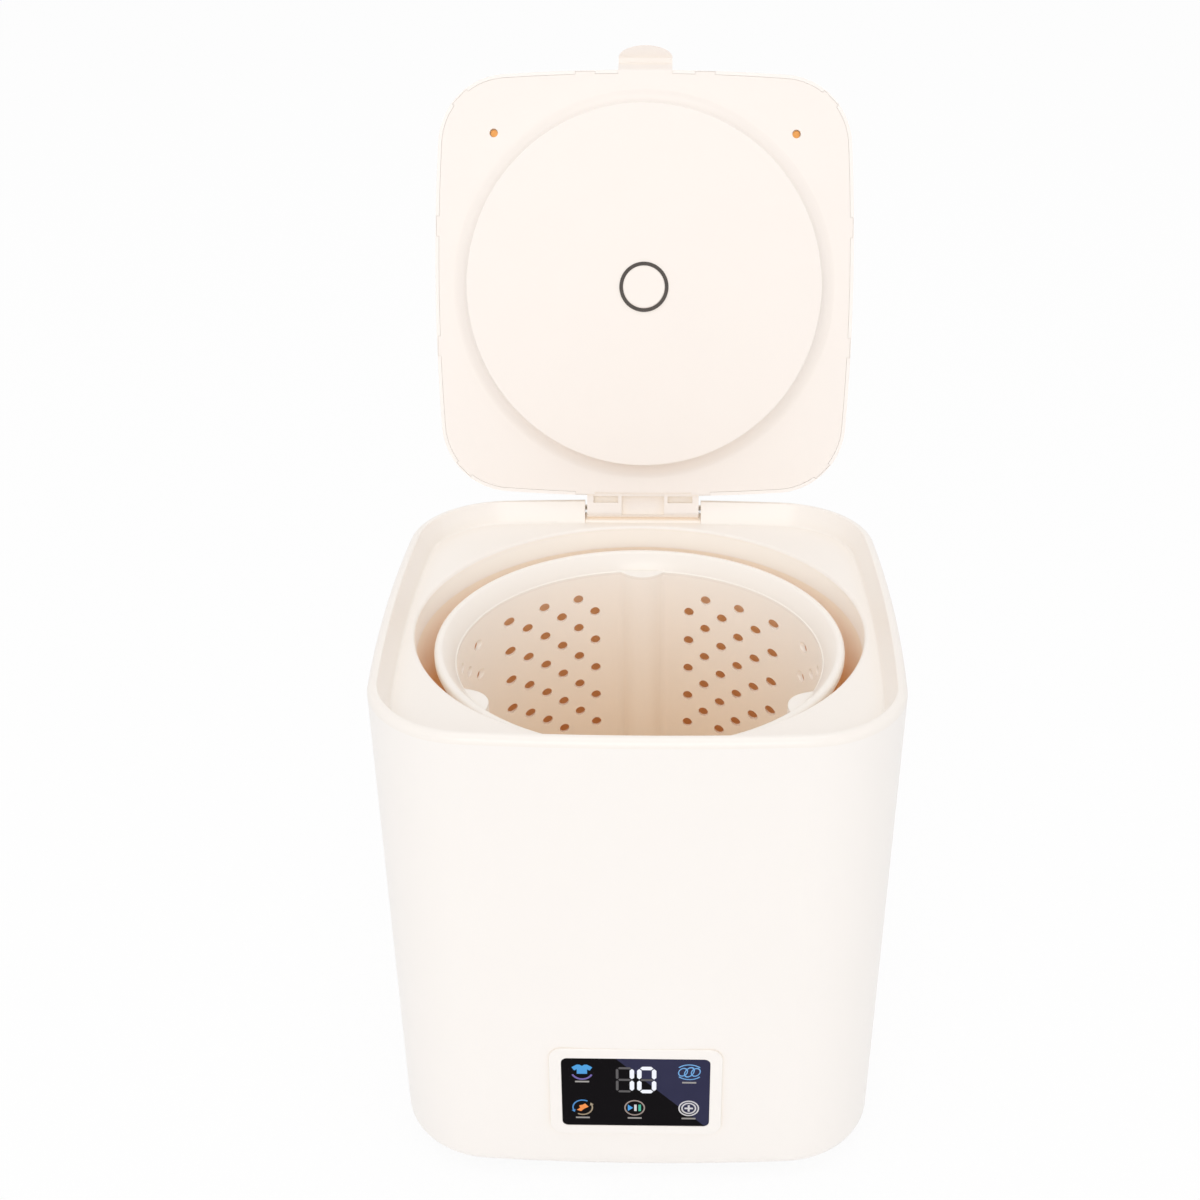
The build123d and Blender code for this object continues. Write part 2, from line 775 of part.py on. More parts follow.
with BuildPart() as basket_shaft:
    with BuildSketch(Plane.XY.offset(basket_shaft_bottom)):
        Circle(basket_shaft_radius)
        Circle(impeller_shaft_radius + 2 * shaft_gap, mode=Mode.SUBTRACT)
    extrude(amount=basket_floor - basket_shaft_bottom)
save(basket_shaft, "basket_shaft")

with BuildPart() as hub_screws:
    with PolarLocations(hub_screw_circle, rib_count):
        with Locations((0, 0, basket_underside - hub_thickness)):
            pan_screw(screw_radius, screw_head_radius, screw_head_height, hub_screw_length)
save(hub_screws, "hub_screws")

# Impeller: a plate with a dome and sloping vanes, on a shaft inside the basket's
with BuildPart() as vane:
    with BuildSketch(Plane.XZ) as vane_profile:
        with BuildLine():
            Polyline(
                (0, impeller_top - impeller_plate / 2),
                (vane_reach, impeller_top - impeller_plate / 2),
                (vane_reach, impeller_top + vane_end_height),
                (impeller_dome_radius, impeller_top + vane_height),
                (0, impeller_top + vane_height),
                close=True,
            )
        make_face()
    extrude(amount=vane_width / 2, both=True)
    crest = vane.edges().filter_by_position(Axis.Z, impeller_top + vane_end_height, rim_height)
    fillet(crest.filter_by(Axis.Y, reverse=True), vane_round)

with BuildPart() as impeller:
    with BuildSketch(Plane.XZ) as impeller_profile:
        with BuildLine():
            Polyline(
                (impeller_shaft_radius + shaft_gap, impeller_bottom),
                (impeller_radius, impeller_bottom),
                (impeller_radius, impeller_top),
                (impeller_dome_radius, impeller_top),
                (impeller_dome_radius / 2, impeller_crown),
                (screw_head_radius + fit_gap, impeller_crown),
                (screw_head_radius + fit_gap, impeller_shaft_top + impeller_plate),
                (screw_radius + shaft_gap, impeller_shaft_top + impeller_plate),
                (screw_radius + shaft_gap, impeller_shaft_top),
                (impeller_shaft_radius + shaft_gap, impeller_shaft_top),
                close=True,
            )
        make_face()
        fillet(nearest(impeller_profile, impeller_dome_radius, impeller_top), dome_blend)
        fillet(nearest(impeller_profile, impeller_dome_radius / 2, impeller_crown), dome_blend)
    revolve(axis=Axis.Z)
    with PolarLocations(0, vane_count):
        add(vane.part)
    with BuildSketch(Plane.XY.offset(impeller_bottom)):
        Circle(impeller_shaft_radius + shaft_gap)
    extrude(amount=impeller_shaft_top - impeller_bottom, mode=Mode.SUBTRACT)
    with BuildSketch(Plane.XY.offset(impeller_shaft_top)):
        Circle(screw_radius + shaft_gap)
    extrude(amount=impeller_plate, mode=Mode.SUBTRACT)
    with BuildSketch(Plane.XY.offset(impeller_shaft_top + impeller_plate)):
        Circle(screw_head_radius + fit_gap)
    extrude(amount=impeller_dome_height, mode=Mode.SUBTRACT)
save(impeller, "impeller")

with BuildPart() as impeller_shaft:
    with BuildSketch(Plane.XY.offset(pulley_top)):
        Circle(impeller_shaft_radius)
    extrude(amount=impeller_shaft_top - pulley_top)
    with BuildSketch(Plane.XY.offset(pulley_top)):
        Circle(pulley_seat_radius)
    extrude(amount=pulley_level - nut_height - pulley_top - 2 * shaft_end)
    with BuildSketch(Plane.XY.offset(impeller_shaft_top)):
        Circle(screw_radius + shaft_gap)
    extrude(amount=-impeller_screw_length, mode=Mode.SUBTRACT)
save(impeller_shaft, "impeller_shaft")

with BuildPart() as impeller_screw:
    with Locations(Location((0, 0, impeller_shaft_top + impeller_plate), (180, 0, 0))):
        pan_screw(screw_radius, screw_head_radius, screw_head_height, impeller_screw_reach)
save(impeller_screw, "impeller_screw")

# Clutch housing in two halves under the tub, with a bearing at each end
with BuildPart() as clutch_upper_housing:
    with BuildSketch(Plane.XY.offset(flange_underside)):
        Circle(clutch_flange_radius)
        with PolarLocations(clutch_bolt_circle, 4, start_angle=45):
            Circle(screw_radius + shaft_gap, mode=Mode.SUBTRACT)
    extrude(amount=clutch_flange_thickness)
    with BuildSketch(Plane.XY.offset(clutch_middle)):
        Circle(clutch_barrel_radius)
    extrude(amount=flange_underside - clutch_middle)
    with BuildSketch(Plane.XY.offset(clutch_middle)):
        Circle(basket_shaft_radius + shaft_play)
    extrude(amount=tub_underside - clutch_middle, mode=Mode.SUBTRACT)
    with BuildSketch(Plane.XY.offset(tub_underside)):
        Circle(upper_bearing_radius)
    extrude(amount=-bearing_height, mode=Mode.SUBTRACT)
save(clutch_upper_housing, "clutch_upper_housing")

with BuildPart() as clutch_lower_housing:
    with BuildSketch(Plane.XY.offset(clutch_middle)):
        Circle(clutch_barrel_radius)
    extrude(amount=-clutch_lower_height)
    fillet(clutch_lower_housing.edges().group_by(Axis.Z)[0], clutch_round)
    with BuildSketch(Plane.XY.offset(clutch_middle)):
        Circle(basket_shaft_radius + shaft_play)
    extrude(amount=basket_shaft_bottom - clutch_middle - shaft_play, mode=Mode.SUBTRACT)
    with BuildSketch(Plane.XY.offset(clutch_bottom)):
        Circle(impeller_shaft_radius + shaft_play)
    extrude(amount=clutch_lower_height, mode=Mode.SUBTRACT)
    with BuildSketch(Plane.XY.offset(clutch_bottom)):
        Circle(lower_bearing_radius)
    extrude(amount=bearing_height, mode=Mode.SUBTRACT)
save(clutch_lower_housing, "clutch_lower_housing")

with BuildPart() as upper_bearing:
    with BuildSketch(Plane.XY.offset(tub_underside)):
        Circle(upper_bearing_radius)
        Circle(basket_shaft_radius + shaft_gap, mode=Mode.SUBTRACT)
    extrude(amount=-bearing_height)
save(upper_bearing, "upper_bearing")

with BuildPart() as lower_bearing:
    with BuildSketch(Plane.XY.offset(clutch_bottom)):
        Circle(lower_bearing_radius)
        Circle(impeller_shaft_radius + shaft_gap, mode=Mode.SUBTRACT)
    extrude(amount=bearing_height)
save(lower_bearing, "lower_bearing")

with BuildPart() as shaft_seal:
    with BuildSketch(Plane.XY.offset(tub_underside)):
        Circle(seal_radius)
        Circle(basket_shaft_radius + 2 * shaft_gap, mode=Mode.SUBTRACT)
    extrude(amount=tub_floor_thickness)
save(shaft_seal, "shaft_seal")

with BuildPart() as clutch_bolts:
    with PolarLocations(clutch_bolt_circle, 4, start_angle=45):
        with Locations((0, 0, bracket_underside)):
            pan_screw(screw_radius, screw_head_radius, screw_head_height, bolt_reach)
save(clutch_bolts, "clutch_bolts")

# Motor bracket: a pressed plate from the clutch flange to the motor
with BuildPart() as motor_bracket:
    with BuildSketch(Plane.XY.offset(bracket_underside)):
        Circle(clutch_flange_radius)
        with Locations((motor_x, motor_y)):
            Circle(motor_radius)
        make_hull()
        Circle(clutch_barrel_radius + fit_gap, mode=Mode.SUBTRACT)
        with PolarLocations(clutch_bolt_circle, 4, start_angle=45):
            Circle(screw_radius + shaft_gap, mode=Mode.SUBTRACT)
        with Locations(stay_place):
            Circle(screw_radius + shaft_gap, mode=Mode.SUBTRACT)
        with Locations((motor_x, motor_y)):
            with PolarLocations(motor_bolt_circle, 4):
                Circle(screw_radius + shaft_gap, mode=Mode.SUBTRACT)
    extrude(amount=bracket_thickness)
save(motor_bracket, "motor_bracket")

with BuildPart() as bracket_screw:
    with Locations((*stay_place, bracket_underside)):
        pan_screw(screw_radius, screw_head_radius, screw_head_height, bracket_thickness + screw_head_radius)
save(bracket_screw, "bracket_screw")

with BuildPart() as motor_grommets:
    with BuildSketch(Plane.XY.offset(motor_top)):
        with Locations((motor_x, motor_y)):
            with PolarLocations(motor_bolt_circle, 4):
                Circle(post_radius)
                Circle(screw_radius + shaft_gap, mode=Mode.SUBTRACT)
    extrude(amount=mount_height)
save(motor_grommets, "motor_grommets")

with BuildPart() as motor_bolts:
    with Locations((motor_x, motor_y)):
        with PolarLocations(motor_bolt_circle, 4):
            with Locations(Location((0, 0, flange_underside), (180, 0, 0))):
                pan_screw(screw_radius, screw_head_radius, screw_head_height, motor_bolt_reach)
save(motor_bolts, "motor_bolts")

# Motor: can, end cap, shaft and the small pulley
with BuildPart() as motor_can:
    with BuildSketch(Plane.XY.offset(motor_bottom + end_cap_height)):
        with Locations((motor_x, motor_y)):
            Circle(motor_radius)
    extrude(amount=motor_height - end_cap_height)
    fillet(motor_can.edges().group_by(Axis.Z)[-1], motor_round)
    with BuildSketch(Plane.XY.offset(motor_top)):
        with Locations((motor_x, motor_y)):
            with PolarLocations(motor_bolt_circle, 4):
                Circle(screw_radius + shaft_gap)
    extrude(amount=-screw_head_radius * 2, mode=Mode.SUBTRACT)
    with BuildSketch(Plane.XY.offset(motor_bottom)):
        with Locations((motor_x, motor_y)):
            Circle(motor_shaft_radius + shaft_gap)
    extrude(amount=motor_height - 2 * end_cap_height, mode=Mode.SUBTRACT)
save(motor_can, "motor_can")

with BuildPart() as motor_end_cap:
    with BuildSketch(Plane.XY.offset(motor_bottom)):
        with Locations((motor_x, motor_y)):
            Circle(motor_radius)
            Circle(motor_shaft_radius + shaft_gap, mode=Mode.SUBTRACT)
    extrude(amount=end_cap_height)
    chamfer(motor_end_cap.edges().group_by(Axis.Z)[0].sort_by(SortBy.LENGTH)[-1], end_cap_chamfer)
save(motor_end_cap, "motor_end_cap")

with BuildPart() as motor_shaft:
    with BuildSketch(Plane.XY.offset(pulley_level - shaft_end)):
        with Locations((motor_x, motor_y)):
            Circle(motor_shaft_radius)
    extrude(amount=motor_top - 2 * end_cap_height - pulley_level)
save(motor_shaft, "motor_shaft")

with BuildPart() as small_pulley:
    with BuildSketch(Plane.XZ) as small_profile:
        with BuildLine():
            Polyline(*pulley_outline(motor_shaft_radius + shaft_gap, small_pulley_radius), close=True)
        make_face()
    revolve(axis=Axis.Z)
    small_pulley.part = Pos(motor_x, motor_y) * small_pulley.part
save(small_pulley, "small_pulley")

with BuildPart() as large_pulley:
    with BuildSketch(Plane.XZ):
        with BuildLine():
            Polyline(*pulley_outline(pulley_seat_radius + shaft_gap, large_pulley_radius), close=True)
        make_face()
    revolve(axis=Axis.Z)
    with BuildSketch(Plane.XY.offset(pulley_level)):
        Circle(large_pulley_radius - pulley_flange)
        Circle(pulley_hub_radius, mode=Mode.SUBTRACT)
    extrude(amount=(pulley_height - pulley_web) / 2, mode=Mode.SUBTRACT)
    with BuildSketch(Plane.XY.offset(pulley_top)):
        Circle(large_pulley_radius - pulley_flange)
        Circle(pulley_hub_radius, mode=Mode.SUBTRACT)
    extrude(amount=-(pulley_height - pulley_web) / 2, mode=Mode.SUBTRACT)
    with BuildSketch(Plane.XY.offset(pulley_level)):
        with PolarLocations((large_pulley_radius - pulley_flange + pulley_hub_radius) / 2, pulley_hole_count):
            Circle(pulley_hole_radius)
    extrude(amount=pulley_height, mode=Mode.SUBTRACT)
save(large_pulley, "large_pulley")

with BuildPart() as pulley_nut:
    with BuildSketch(Plane.XY.offset(pulley_level - nut_height)):
        RegularPolygon(nut_radius, 6)
        Circle(pulley_seat_radius + shaft_gap, mode=Mode.SUBTRACT)
    extrude(amount=nut_height)
save(pulley_nut, "pulley_nut")

# Drive belt: one loop round both pulleys
with BuildPart() as drive_belt:
    with BuildSketch(Plane.XY.offset(belt_bottom)):
        Circle(large_pulley_radius + fit_gap + belt_thickness)
        with Locations((motor_x, motor_y)):
            Circle(small_pulley_radius + fit_gap + belt_thickness)
        make_hull()
    extrude(amount=belt_width)
    with BuildSketch(Plane.XY.offset(belt_bottom)):
        Circle(large_pulley_radius + fit_gap)
        with Locations((motor_x, motor_y)):
            Circle(small_pulley_radius + fit_gap)
        make_hull()
    extrude(amount=belt_width, mode=Mode.SUBTRACT)
save(drive_belt, "drive_belt")

# Lid shell: the outer half of the lid, notched for the clips, the tab and the hinge block
with BuildPart() as lid_shell:
    with BuildSketch(lid_plane):
        add(bowed_square(lid_half))
    extrude(amount=lid_height)
    fillet(lid_shell.edges().group_by(lid_axis)[-1], lid_edge_round)
    with BuildSketch(lid_plane):
        add(bowed_square(lid_half - lid_wall))
    extrude(amount=lid_height - lid_wall, mode=Mode.SUBTRACT)
    with BuildSketch(lid_plane.offset(lid_post_level)):
        with Locations(*lid_screw_places):
            Circle(post_radius)
    extrude(amount=lid_height - lid_wall - lid_post_level)
    with BuildSketch(lid_plane.offset(lid_post_level)):
        with Locations(*lid_screw_places):
            Circle(lid_screw_radius + shaft_gap)
    extrude(amount=lid_screw_depth, mode=Mode.SUBTRACT)
    with BuildSketch(lid_plane):
        with Locations((0, lid_half - lid_wall)):
            Rectangle(block_width + 2 * fit_gap, 4 * lid_wall)
    extrude(amount=block_top + fit_gap, mode=Mode.SUBTRACT)
    with BuildSketch(lid_plane):
        with Locations((0, lid_wall - lid_half)):
            Rectangle(tab_width + 2 * panel_gap, 4 * lid_wall)
    extrude(amount=lid_wall + panel_gap, mode=Mode.SUBTRACT)
    with BuildSketch(lid_plane):
        for place in clip_places:
            with Locations(place):
                Rectangle(clip_length + 2 * panel_gap, 2 * clip_depth + 2 * panel_gap)
    extrude(amount=lid_wall + panel_gap, mode=Mode.SUBTRACT)
save(lid_shell, "lid_shell")

# Finger tab: rises from the inner panel over the rim and slopes down to its round end
with BuildPart() as finger_tab:
    with BuildSketch(lid_side_plane):
        with BuildLine():
            Polyline(
                (tab_end, tab_bottom - tab_lip_drop),
                (tab_bend, tab_bottom),
                (-lid_half - tab_slope * tab_bottom, tab_bottom),
                (-lid_half, 0),
                (2 * lid_wall - lid_half, 0),
                (2 * lid_wall - lid_half, lid_wall),
                (-lid_half - panel_gap, lid_wall),
                (-lid_half - panel_gap, lid_height),
                (tab_bend, lid_height),
                (tab_end, lid_height - tab_lip_drop),
                close=True,
            )
        make_face()
    extrude(amount=tab_width / 2, both=True)
    with BuildSketch(lid_plane):
        with Locations((0, (tab_bend - lid_half / 2) / 2)):
            Rectangle(tab_width, -tab_bend - lid_half / 2)
        with Locations((0, tab_bend)):
            Ellipse(tab_width / 2, tab_lip)
    extrude(amount=lid_height, mode=Mode.INTERSECT)

# Lid inner panel: dished plug, screw tubes, finger tab and the hinge block
with BuildPart() as lid_inner_panel:
    with BuildSketch(lid_plane):
        add(bowed_square(lid_half - lid_wall - panel_gap))
        for place in clip_places:
            with Locations(place):
                Rectangle(clip_length, 2 * clip_depth)
        Circle(plug_outer, mode=Mode.SUBTRACT)
    extrude(amount=lid_wall)
    with BuildSketch(lid_front_plane) as plug_profile:
        with BuildLine():
            Polyline(
                (0, -plug_depth),
                (plug_radius, -plug_depth),
                (plug_radius + plug_draft, 0),
                (plug_outer, 0),
                (plug_outer, lid_wall),
                (plug_radius + plug_draft - lid_wall, lid_wall),
                (plug_radius - lid_wall, lid_wall - plug_depth),
                (cap_boss_radius, lid_wall - plug_depth),
                (cap_boss_radius, cap_seat + lid_wall),
                (0, cap_seat + lid_wall),
                close=True,
            )
        make_face()
        fillet(nearest(plug_profile, plug_radius + plug_draft, 0), plug_flare)
        fillet(nearest(plug_profile, plug_radius, -plug_depth), plug_edge)
    revolve(axis=lid_axis)
    with BuildSketch(lid_plane.offset(-plug_depth)):
        Circle(cap_radius + cap_seal_width)
    extrude(amount=plug_depth + cap_seat, mode=Mode.SUBTRACT)
    with BuildSketch(lid_plane.offset(lid_wall)):
        with Locations(*lid_screw_places):
            Circle(lid_tube_radius)
    extrude(amount=lid_post_level - lid_wall)
    with BuildSketch(lid_plane):
        with Locations(*lid_screw_places):
            Circle(lid_screw_hole)
    extrude(amount=lid_head_level, mode=Mode.SUBTRACT)
    with BuildSketch(lid_plane):
        with Locations(*lid_screw_places):
            Circle(lid_screw_radius + shaft_gap)
    extrude(amount=lid_post_level, mode=Mode.SUBTRACT)
    add(finger_tab.part)
    with BuildSketch(lid_side_plane):
        with Locations(((block_root + pivot_local_y) / 2, (block_bottom + block_top) / 2)):
            Rectangle(pivot_local_y - block_root, block_thickness)
        with Locations((pivot_local_y, pivot_local_z)):
            Circle(knuckle_radius)
    extrude(amount=block_width / 2, both=True)
    with BuildSketch(lid_plane.offset(block_bottom)):
        with Locations((0, (lid_half + pivot_local_y + knuckle_radius / 2) / 2)):
            Rectangle(middle_pocket_width, pivot_local_y + knuckle_radius / 2 - lid_half)
        for side in (-1, 1):
            with Locations((side * end_pocket_x, lid_half + end_pocket_height / 2)):
                Rectangle(end_pocket_width, end_pocket_height)
    extrude(amount=pocket_depth, mode=Mode.SUBTRACT)
    for side in (-1, 1):
        with BuildSketch(Plane.YZ.offset(side * (pin_inner_end - fit_gap))):
            with Locations((pivot_y, pivot_z)):
                Circle(hinge_pin_radius + shaft_gap)
        extrude(amount=side * (hinge_pin_reach + 2 * fit_gap), mode=Mode.SUBTRACT)
save(lid_inner_panel, "lid_inner_panel")

with BuildPart() as lid_cap:
    with BuildSketch(lid_plane.offset(cap_seat)):
        Circle(cap_radius)
    extrude(amount=-cap_inset - cap_crown)
    fillet(lid_cap.edges().group_by(lid_axis)[0], cap_crown)
save(lid_cap, "lid_cap")

with BuildPart() as lid_cap_seal:
    with BuildSketch(lid_plane.offset(-plug_depth - cap_crown / 2)):
        Circle(cap_radius + cap_seal_width)
        Circle(cap_radius, mode=Mode.SUBTRACT)
    extrude(amount=plug_depth + cap_crown / 2 + cap_seat)
save(lid_cap_seal, "lid_cap_seal")

with BuildPart() as lid_screws:
    with Locations(lid_plane.offset(lid_head_level)):
        with Locations(*lid_screw_places):
            pan_screw(lid_screw_radius, lid_screw_hole - fit_gap, screw_head_height, lid_screw_length)
save(lid_screws, "lid_screws")

# Control bezel: a frame let into the casing's window
with BuildPart() as control_bezel:
    with BuildSketch(Plane.XZ.offset(-bezel_front)):
        with Locations((0, panel_level)):
            RectangleRounded(bezel_width, bezel_height, bezel_corner)
    extrude(amount=-bezel_depth)
    fillet(control_bezel.edges().group_by(Axis.Y)[0], bezel_edge)
    add(casing_block(), mode=Mode.SUBTRACT)
    with BuildSketch(Plane.XZ.offset(-bezel_front - bezel_edge)):
        with Locations((0, panel_level)):
            RectangleRounded(window_width - 2 * fit_gap, window_height - 2 * fit_gap, window_corner - fit_gap)
    extrude(amount=bezel_edge - bezel_depth)
    with BuildSketch(Plane.XZ.offset(-bezel_front)):
        with Locations((0, panel_level)):
            RectangleRounded(glass_seat_width, glass_seat_height, glass_corner + panel_gap)
    extrude(amount=-glass_recess - glass_thickness, mode=Mode.SUBTRACT)
    with BuildSketch(Plane.XZ.offset(-bezel_front)):
        with Locations((0, panel_level)):
            Rectangle(glass_width - 2 * glass_ledge, glass_height - 2 * glass_ledge)
    extrude(amount=-bezel_depth, mode=Mode.SUBTRACT)
save(control_bezel, "control_bezel")

with BuildPart() as display_glass:
    with BuildSketch(Plane.XZ.offset(-glass_front)):
        with Locations((0, panel_level)):
            RectangleRounded(glass_width, glass_height, glass_corner)
    extrude(amount=-glass_thickness)
save(display_glass, "display_glass")

with BuildPart() as display_board:
    with BuildSketch(Plane.XZ.offset(-board_front)):
        with Locations((0, panel_level)):
            Rectangle(glass_width, glass_height)
    extrude(amount=-board_thickness)
save(display_board, "display_board")

with BuildPart() as digit_module:
    with BuildSketch(Plane.XZ.offset(-board_front)):
        with Locations((0, panel_level + digit_rise)):
            Rectangle(digit_width, digit_height)
    extrude(amount=board_front - glass_front - glass_thickness - fit_gap)
save(digit_module, "digit_module")

# Control box on the base pan, its cover and the power board inside
with BuildPart() as control_box:
    with BuildSketch(Plane.XY.offset(base_top)):
        with Locations((0, box_y)):
            RectangleRounded(box_length, box_depth, box_corner)
    extrude(amount=box_height - wall)
    with BuildSketch(Plane.XY.offset(base_top + wall)):
        with Locations((0, box_y)):
            RectangleRounded(box_length - 2 * wall, box_depth - 2 * wall, box_corner - wall)
    extrude(amount=box_height, mode=Mode.SUBTRACT)
    with BuildSketch(Plane.XY.offset(base_top + wall)):
        with Locations((0, box_y)):
            with GridLocations(board_post_x, board_post_y, 2, 2):
                Circle(screw_head_radius)
    extrude(amount=wall)
save(control_box, "control_box")

with BuildPart() as power_board:
    with BuildSketch(Plane.XY.offset(base_top + 2 * wall)):
        with Locations((0, box_y)):
            Rectangle(box_length - 4 * wall, box_depth - 4 * wall)
    extrude(amount=board_thickness)
    with BuildSketch(Plane.XY.offset(base_top + 2 * wall + board_thickness)):
        with Locations((relay_x, box_y)):
            Rectangle(relay_width, relay_length)
        with Locations((capacitor_x, box_y)):
            Circle(capacitor_radius)
    extrude(amount=component_height)
save(power_board, "power_board")

with BuildPart() as control_box_cover:
    with BuildSketch(Plane.XY.offset(base_top + box_height - wall)):
        with Locations((0, box_y)):
            RectangleRounded(box_length, box_depth, box_corner)
    extrude(amount=wall)
    chamfer(control_box_cover.edges().group_by(Axis.Z)[-1], box_cover_chamfer)
save(control_box_cover, "control_box_cover")

# Drain: valve under the tub floor, its coil, the hose and the outlet at the back
with BuildPart() as drain_valve:
    with BuildSketch(Plane.XY.offset(tub_underside)):
        with Locations((drain_x, drain_y)):
            Circle(valve_radius)
    extrude(amount=-valve_height)
    with BuildSketch(Plane.XZ.offset(-drain_y)):
        with Locations((drain_x, valve_middle)):
            Circle(coil_radius + wall)
    extrude(amount=valve_radius + wall)
    with BuildSketch(Plane.XY.offset(tub_underside)):
        with Locations((drain_x, drain_y)):
            Circle(drain_bore)
    extrude(amount=-valve_height, mode=Mode.SUBTRACT)
save(drain_valve, "drain_valve")

with BuildPart() as valve_coil:
    with BuildSketch(Plane.XZ.offset(-drain_y + valve_radius + wall)):
        with Locations((drain_x, valve_middle)):
            Circle(coil_radius)
    extrude(amount=coil_length)
    chamfer(valve_coil.edges(), coil_chamfer)
save(valve_coil, "valve_coil")

with BuildPart() as drain_hose:
    with BuildLine() as hose_route:
        Line((drain_x, drain_y, tub_underside - valve_height), (drain_x, drain_y, drain_level + drain_bend))
        ThreePointArc(
            (drain_x, drain_y, drain_level + drain_bend),
            (drain_x, drain_y + drain_bend * (1 - sqrt(0.5)), drain_level + drain_bend * (1 - sqrt(0.5))),
            (drain_x, drain_y + drain_bend, drain_level),
        )
        Line((drain_x, drain_y + drain_bend, drain_level), (drain_x, hose_end, drain_level))
    with BuildSketch(Plane.XY.offset(tub_underside - valve_height)):
        with Locations((drain_x, drain_y)):
            Circle(drain_hose_radius)
            Circle(drain_bore, mode=Mode.SUBTRACT)
    sweep()
save(drain_hose, "drain_hose")

with BuildPart() as drain_spigot:
    with BuildSketch(Plane.XZ.offset(-casing_half_bottom)):
        with Locations((drain_x, drain_level)):
            Circle(spigot_radius + spigot_flange)
    extrude(amount=-wall)
    add(casing_block(), mode=Mode.SUBTRACT)
    with BuildSketch(Plane.XZ.offset(-hose_end)):
        with Locations((drain_x, drain_level)):
            Circle(spigot_radius)
    extrude(amount=-spigot_length)
    with BuildSketch(Plane.XZ.offset(-hose_end)):
        with Locations((drain_x, drain_level)):
            Circle(drain_bore)
    extrude(amount=-spigot_length, mode=Mode.SUBTRACT)
    chamfer(drain_spigot.edges().group_by(Axis.Y)[-1].sort_by(SortBy.LENGTH)[-1], spigot_chamfer)
save(drain_spigot, "drain_spigot")

# Power inlet at the back, with two contact pins in its socket
with BuildPart() as power_inlet:
    with BuildSketch(Plane.XZ.offset(-inlet_face)):
        with Locations((inlet_x, inlet_level)):
            RectangleRounded(inlet_width + 2 * inlet_flange, inlet_height + 2 * inlet_flange, wall)
    extrude(amount=2 * wall)
    add(casing_block(), mode=Mode.SUBTRACT)
    with BuildSketch(Plane.XZ.offset(-inlet_face)):
        with Locations((inlet_x, inlet_level)):
            Rectangle(inlet_width, inlet_height)
    extrude(amount=inlet_depth)
    with BuildSketch(Plane.XZ.offset(-inlet_face)):
        with Locations((inlet_x, inlet_level)):
            SlotOverall(socket_width, socket_height)
    extrude(amount=socket_depth, mode=Mode.SUBTRACT)
    with BuildSketch(Plane.XZ.offset(-inlet_face + socket_depth)):
        with Locations((inlet_x, inlet_level)):
            with GridLocations(contact_pitch, 0, 2, 1):
                Circle(contact_radius + shaft_gap)
    extrude(amount=contact_root, mode=Mode.SUBTRACT)
save(power_inlet, "power_inlet")

with BuildPart() as inlet_contacts:
    with BuildSketch(Plane.XZ.offset(-inlet_face + socket_depth + contact_root - fit_gap)):
        with Locations((inlet_x, inlet_level)):
            with GridLocations(contact_pitch, 0, 2, 1):
                Circle(contact_radius)
    extrude(amount=-contact_length)
save(inlet_contacts, "inlet_contacts")
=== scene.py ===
import math

import bmesh
import bpy
from mathutils import Matrix, Vector


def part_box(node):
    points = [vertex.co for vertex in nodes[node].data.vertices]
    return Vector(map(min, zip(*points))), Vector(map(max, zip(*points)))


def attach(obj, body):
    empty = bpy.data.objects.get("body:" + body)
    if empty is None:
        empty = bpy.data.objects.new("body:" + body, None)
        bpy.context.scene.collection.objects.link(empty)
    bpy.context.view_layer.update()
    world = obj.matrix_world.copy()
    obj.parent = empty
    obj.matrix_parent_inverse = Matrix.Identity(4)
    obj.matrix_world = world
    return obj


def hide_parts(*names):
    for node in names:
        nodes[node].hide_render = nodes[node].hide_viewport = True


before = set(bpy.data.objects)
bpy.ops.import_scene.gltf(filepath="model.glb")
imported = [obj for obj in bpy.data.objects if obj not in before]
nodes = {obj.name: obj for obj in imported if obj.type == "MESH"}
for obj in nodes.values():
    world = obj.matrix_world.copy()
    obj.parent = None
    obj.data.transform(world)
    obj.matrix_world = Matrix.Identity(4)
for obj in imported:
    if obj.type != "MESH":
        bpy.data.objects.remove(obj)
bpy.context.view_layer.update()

# Camera: stands in front of the machine and a little above the open lid, and looks down at it.
# Its place was solved from the outlines of the rim, the basket and the lid.
camera_data = bpy.data.cameras.new("camera")
camera_data.lens = 51.45
camera_data.sensor_width = 36.0
camera_data.shift_x = -0.033
camera_data.shift_y = 0.043
camera_data.clip_start = 0.05
camera = bpy.data.objects.new("camera", camera_data)
bpy.context.scene.collection.objects.link(camera)
camera_right = Vector((0.99988, 0.01544, 0.0))
camera_up = Vector((-0.00763, 0.49443, 0.86918))
camera_back = camera_right.cross(camera_up)
camera_turn = Matrix((camera_right, camera_up, camera_back)).transposed().to_4x4()
camera_place = Vector((0.0138, -0.8920, 0.7930))
camera.matrix_world = Matrix.Translation(camera_place) @ camera_turn
bpy.context.scene.camera = camera


# Casing: one drafted tub of satin cream plastic, injection moulded, with the finest spark-eroded
# grain on its outside. The surround of the display is a separate frame in the same plastic.
class Field:
    """A value that varies over a surface: arithmetic on it adds Math nodes."""

    def __init__(self, finish, socket):
        self.finish = finish
        self.socket = socket

    def math(self, operation, first, second):
        return self.finish.node("ShaderNodeMath", {"operation": operation}, {0: first, 1: second})

    def __add__(self, other):
        return self.math("ADD", self, other)

    def __sub__(self, other):
        return self.math("SUBTRACT", self, other)

    def __rsub__(self, other):
        return self.math("SUBTRACT", other, self)

    def __mul__(self, other):
        return self.math("MULTIPLY", self, other)

    def clamped(self):
        return self.finish.node("ShaderNodeClamp", {}, {"Value": self})

    __radd__ = __add__


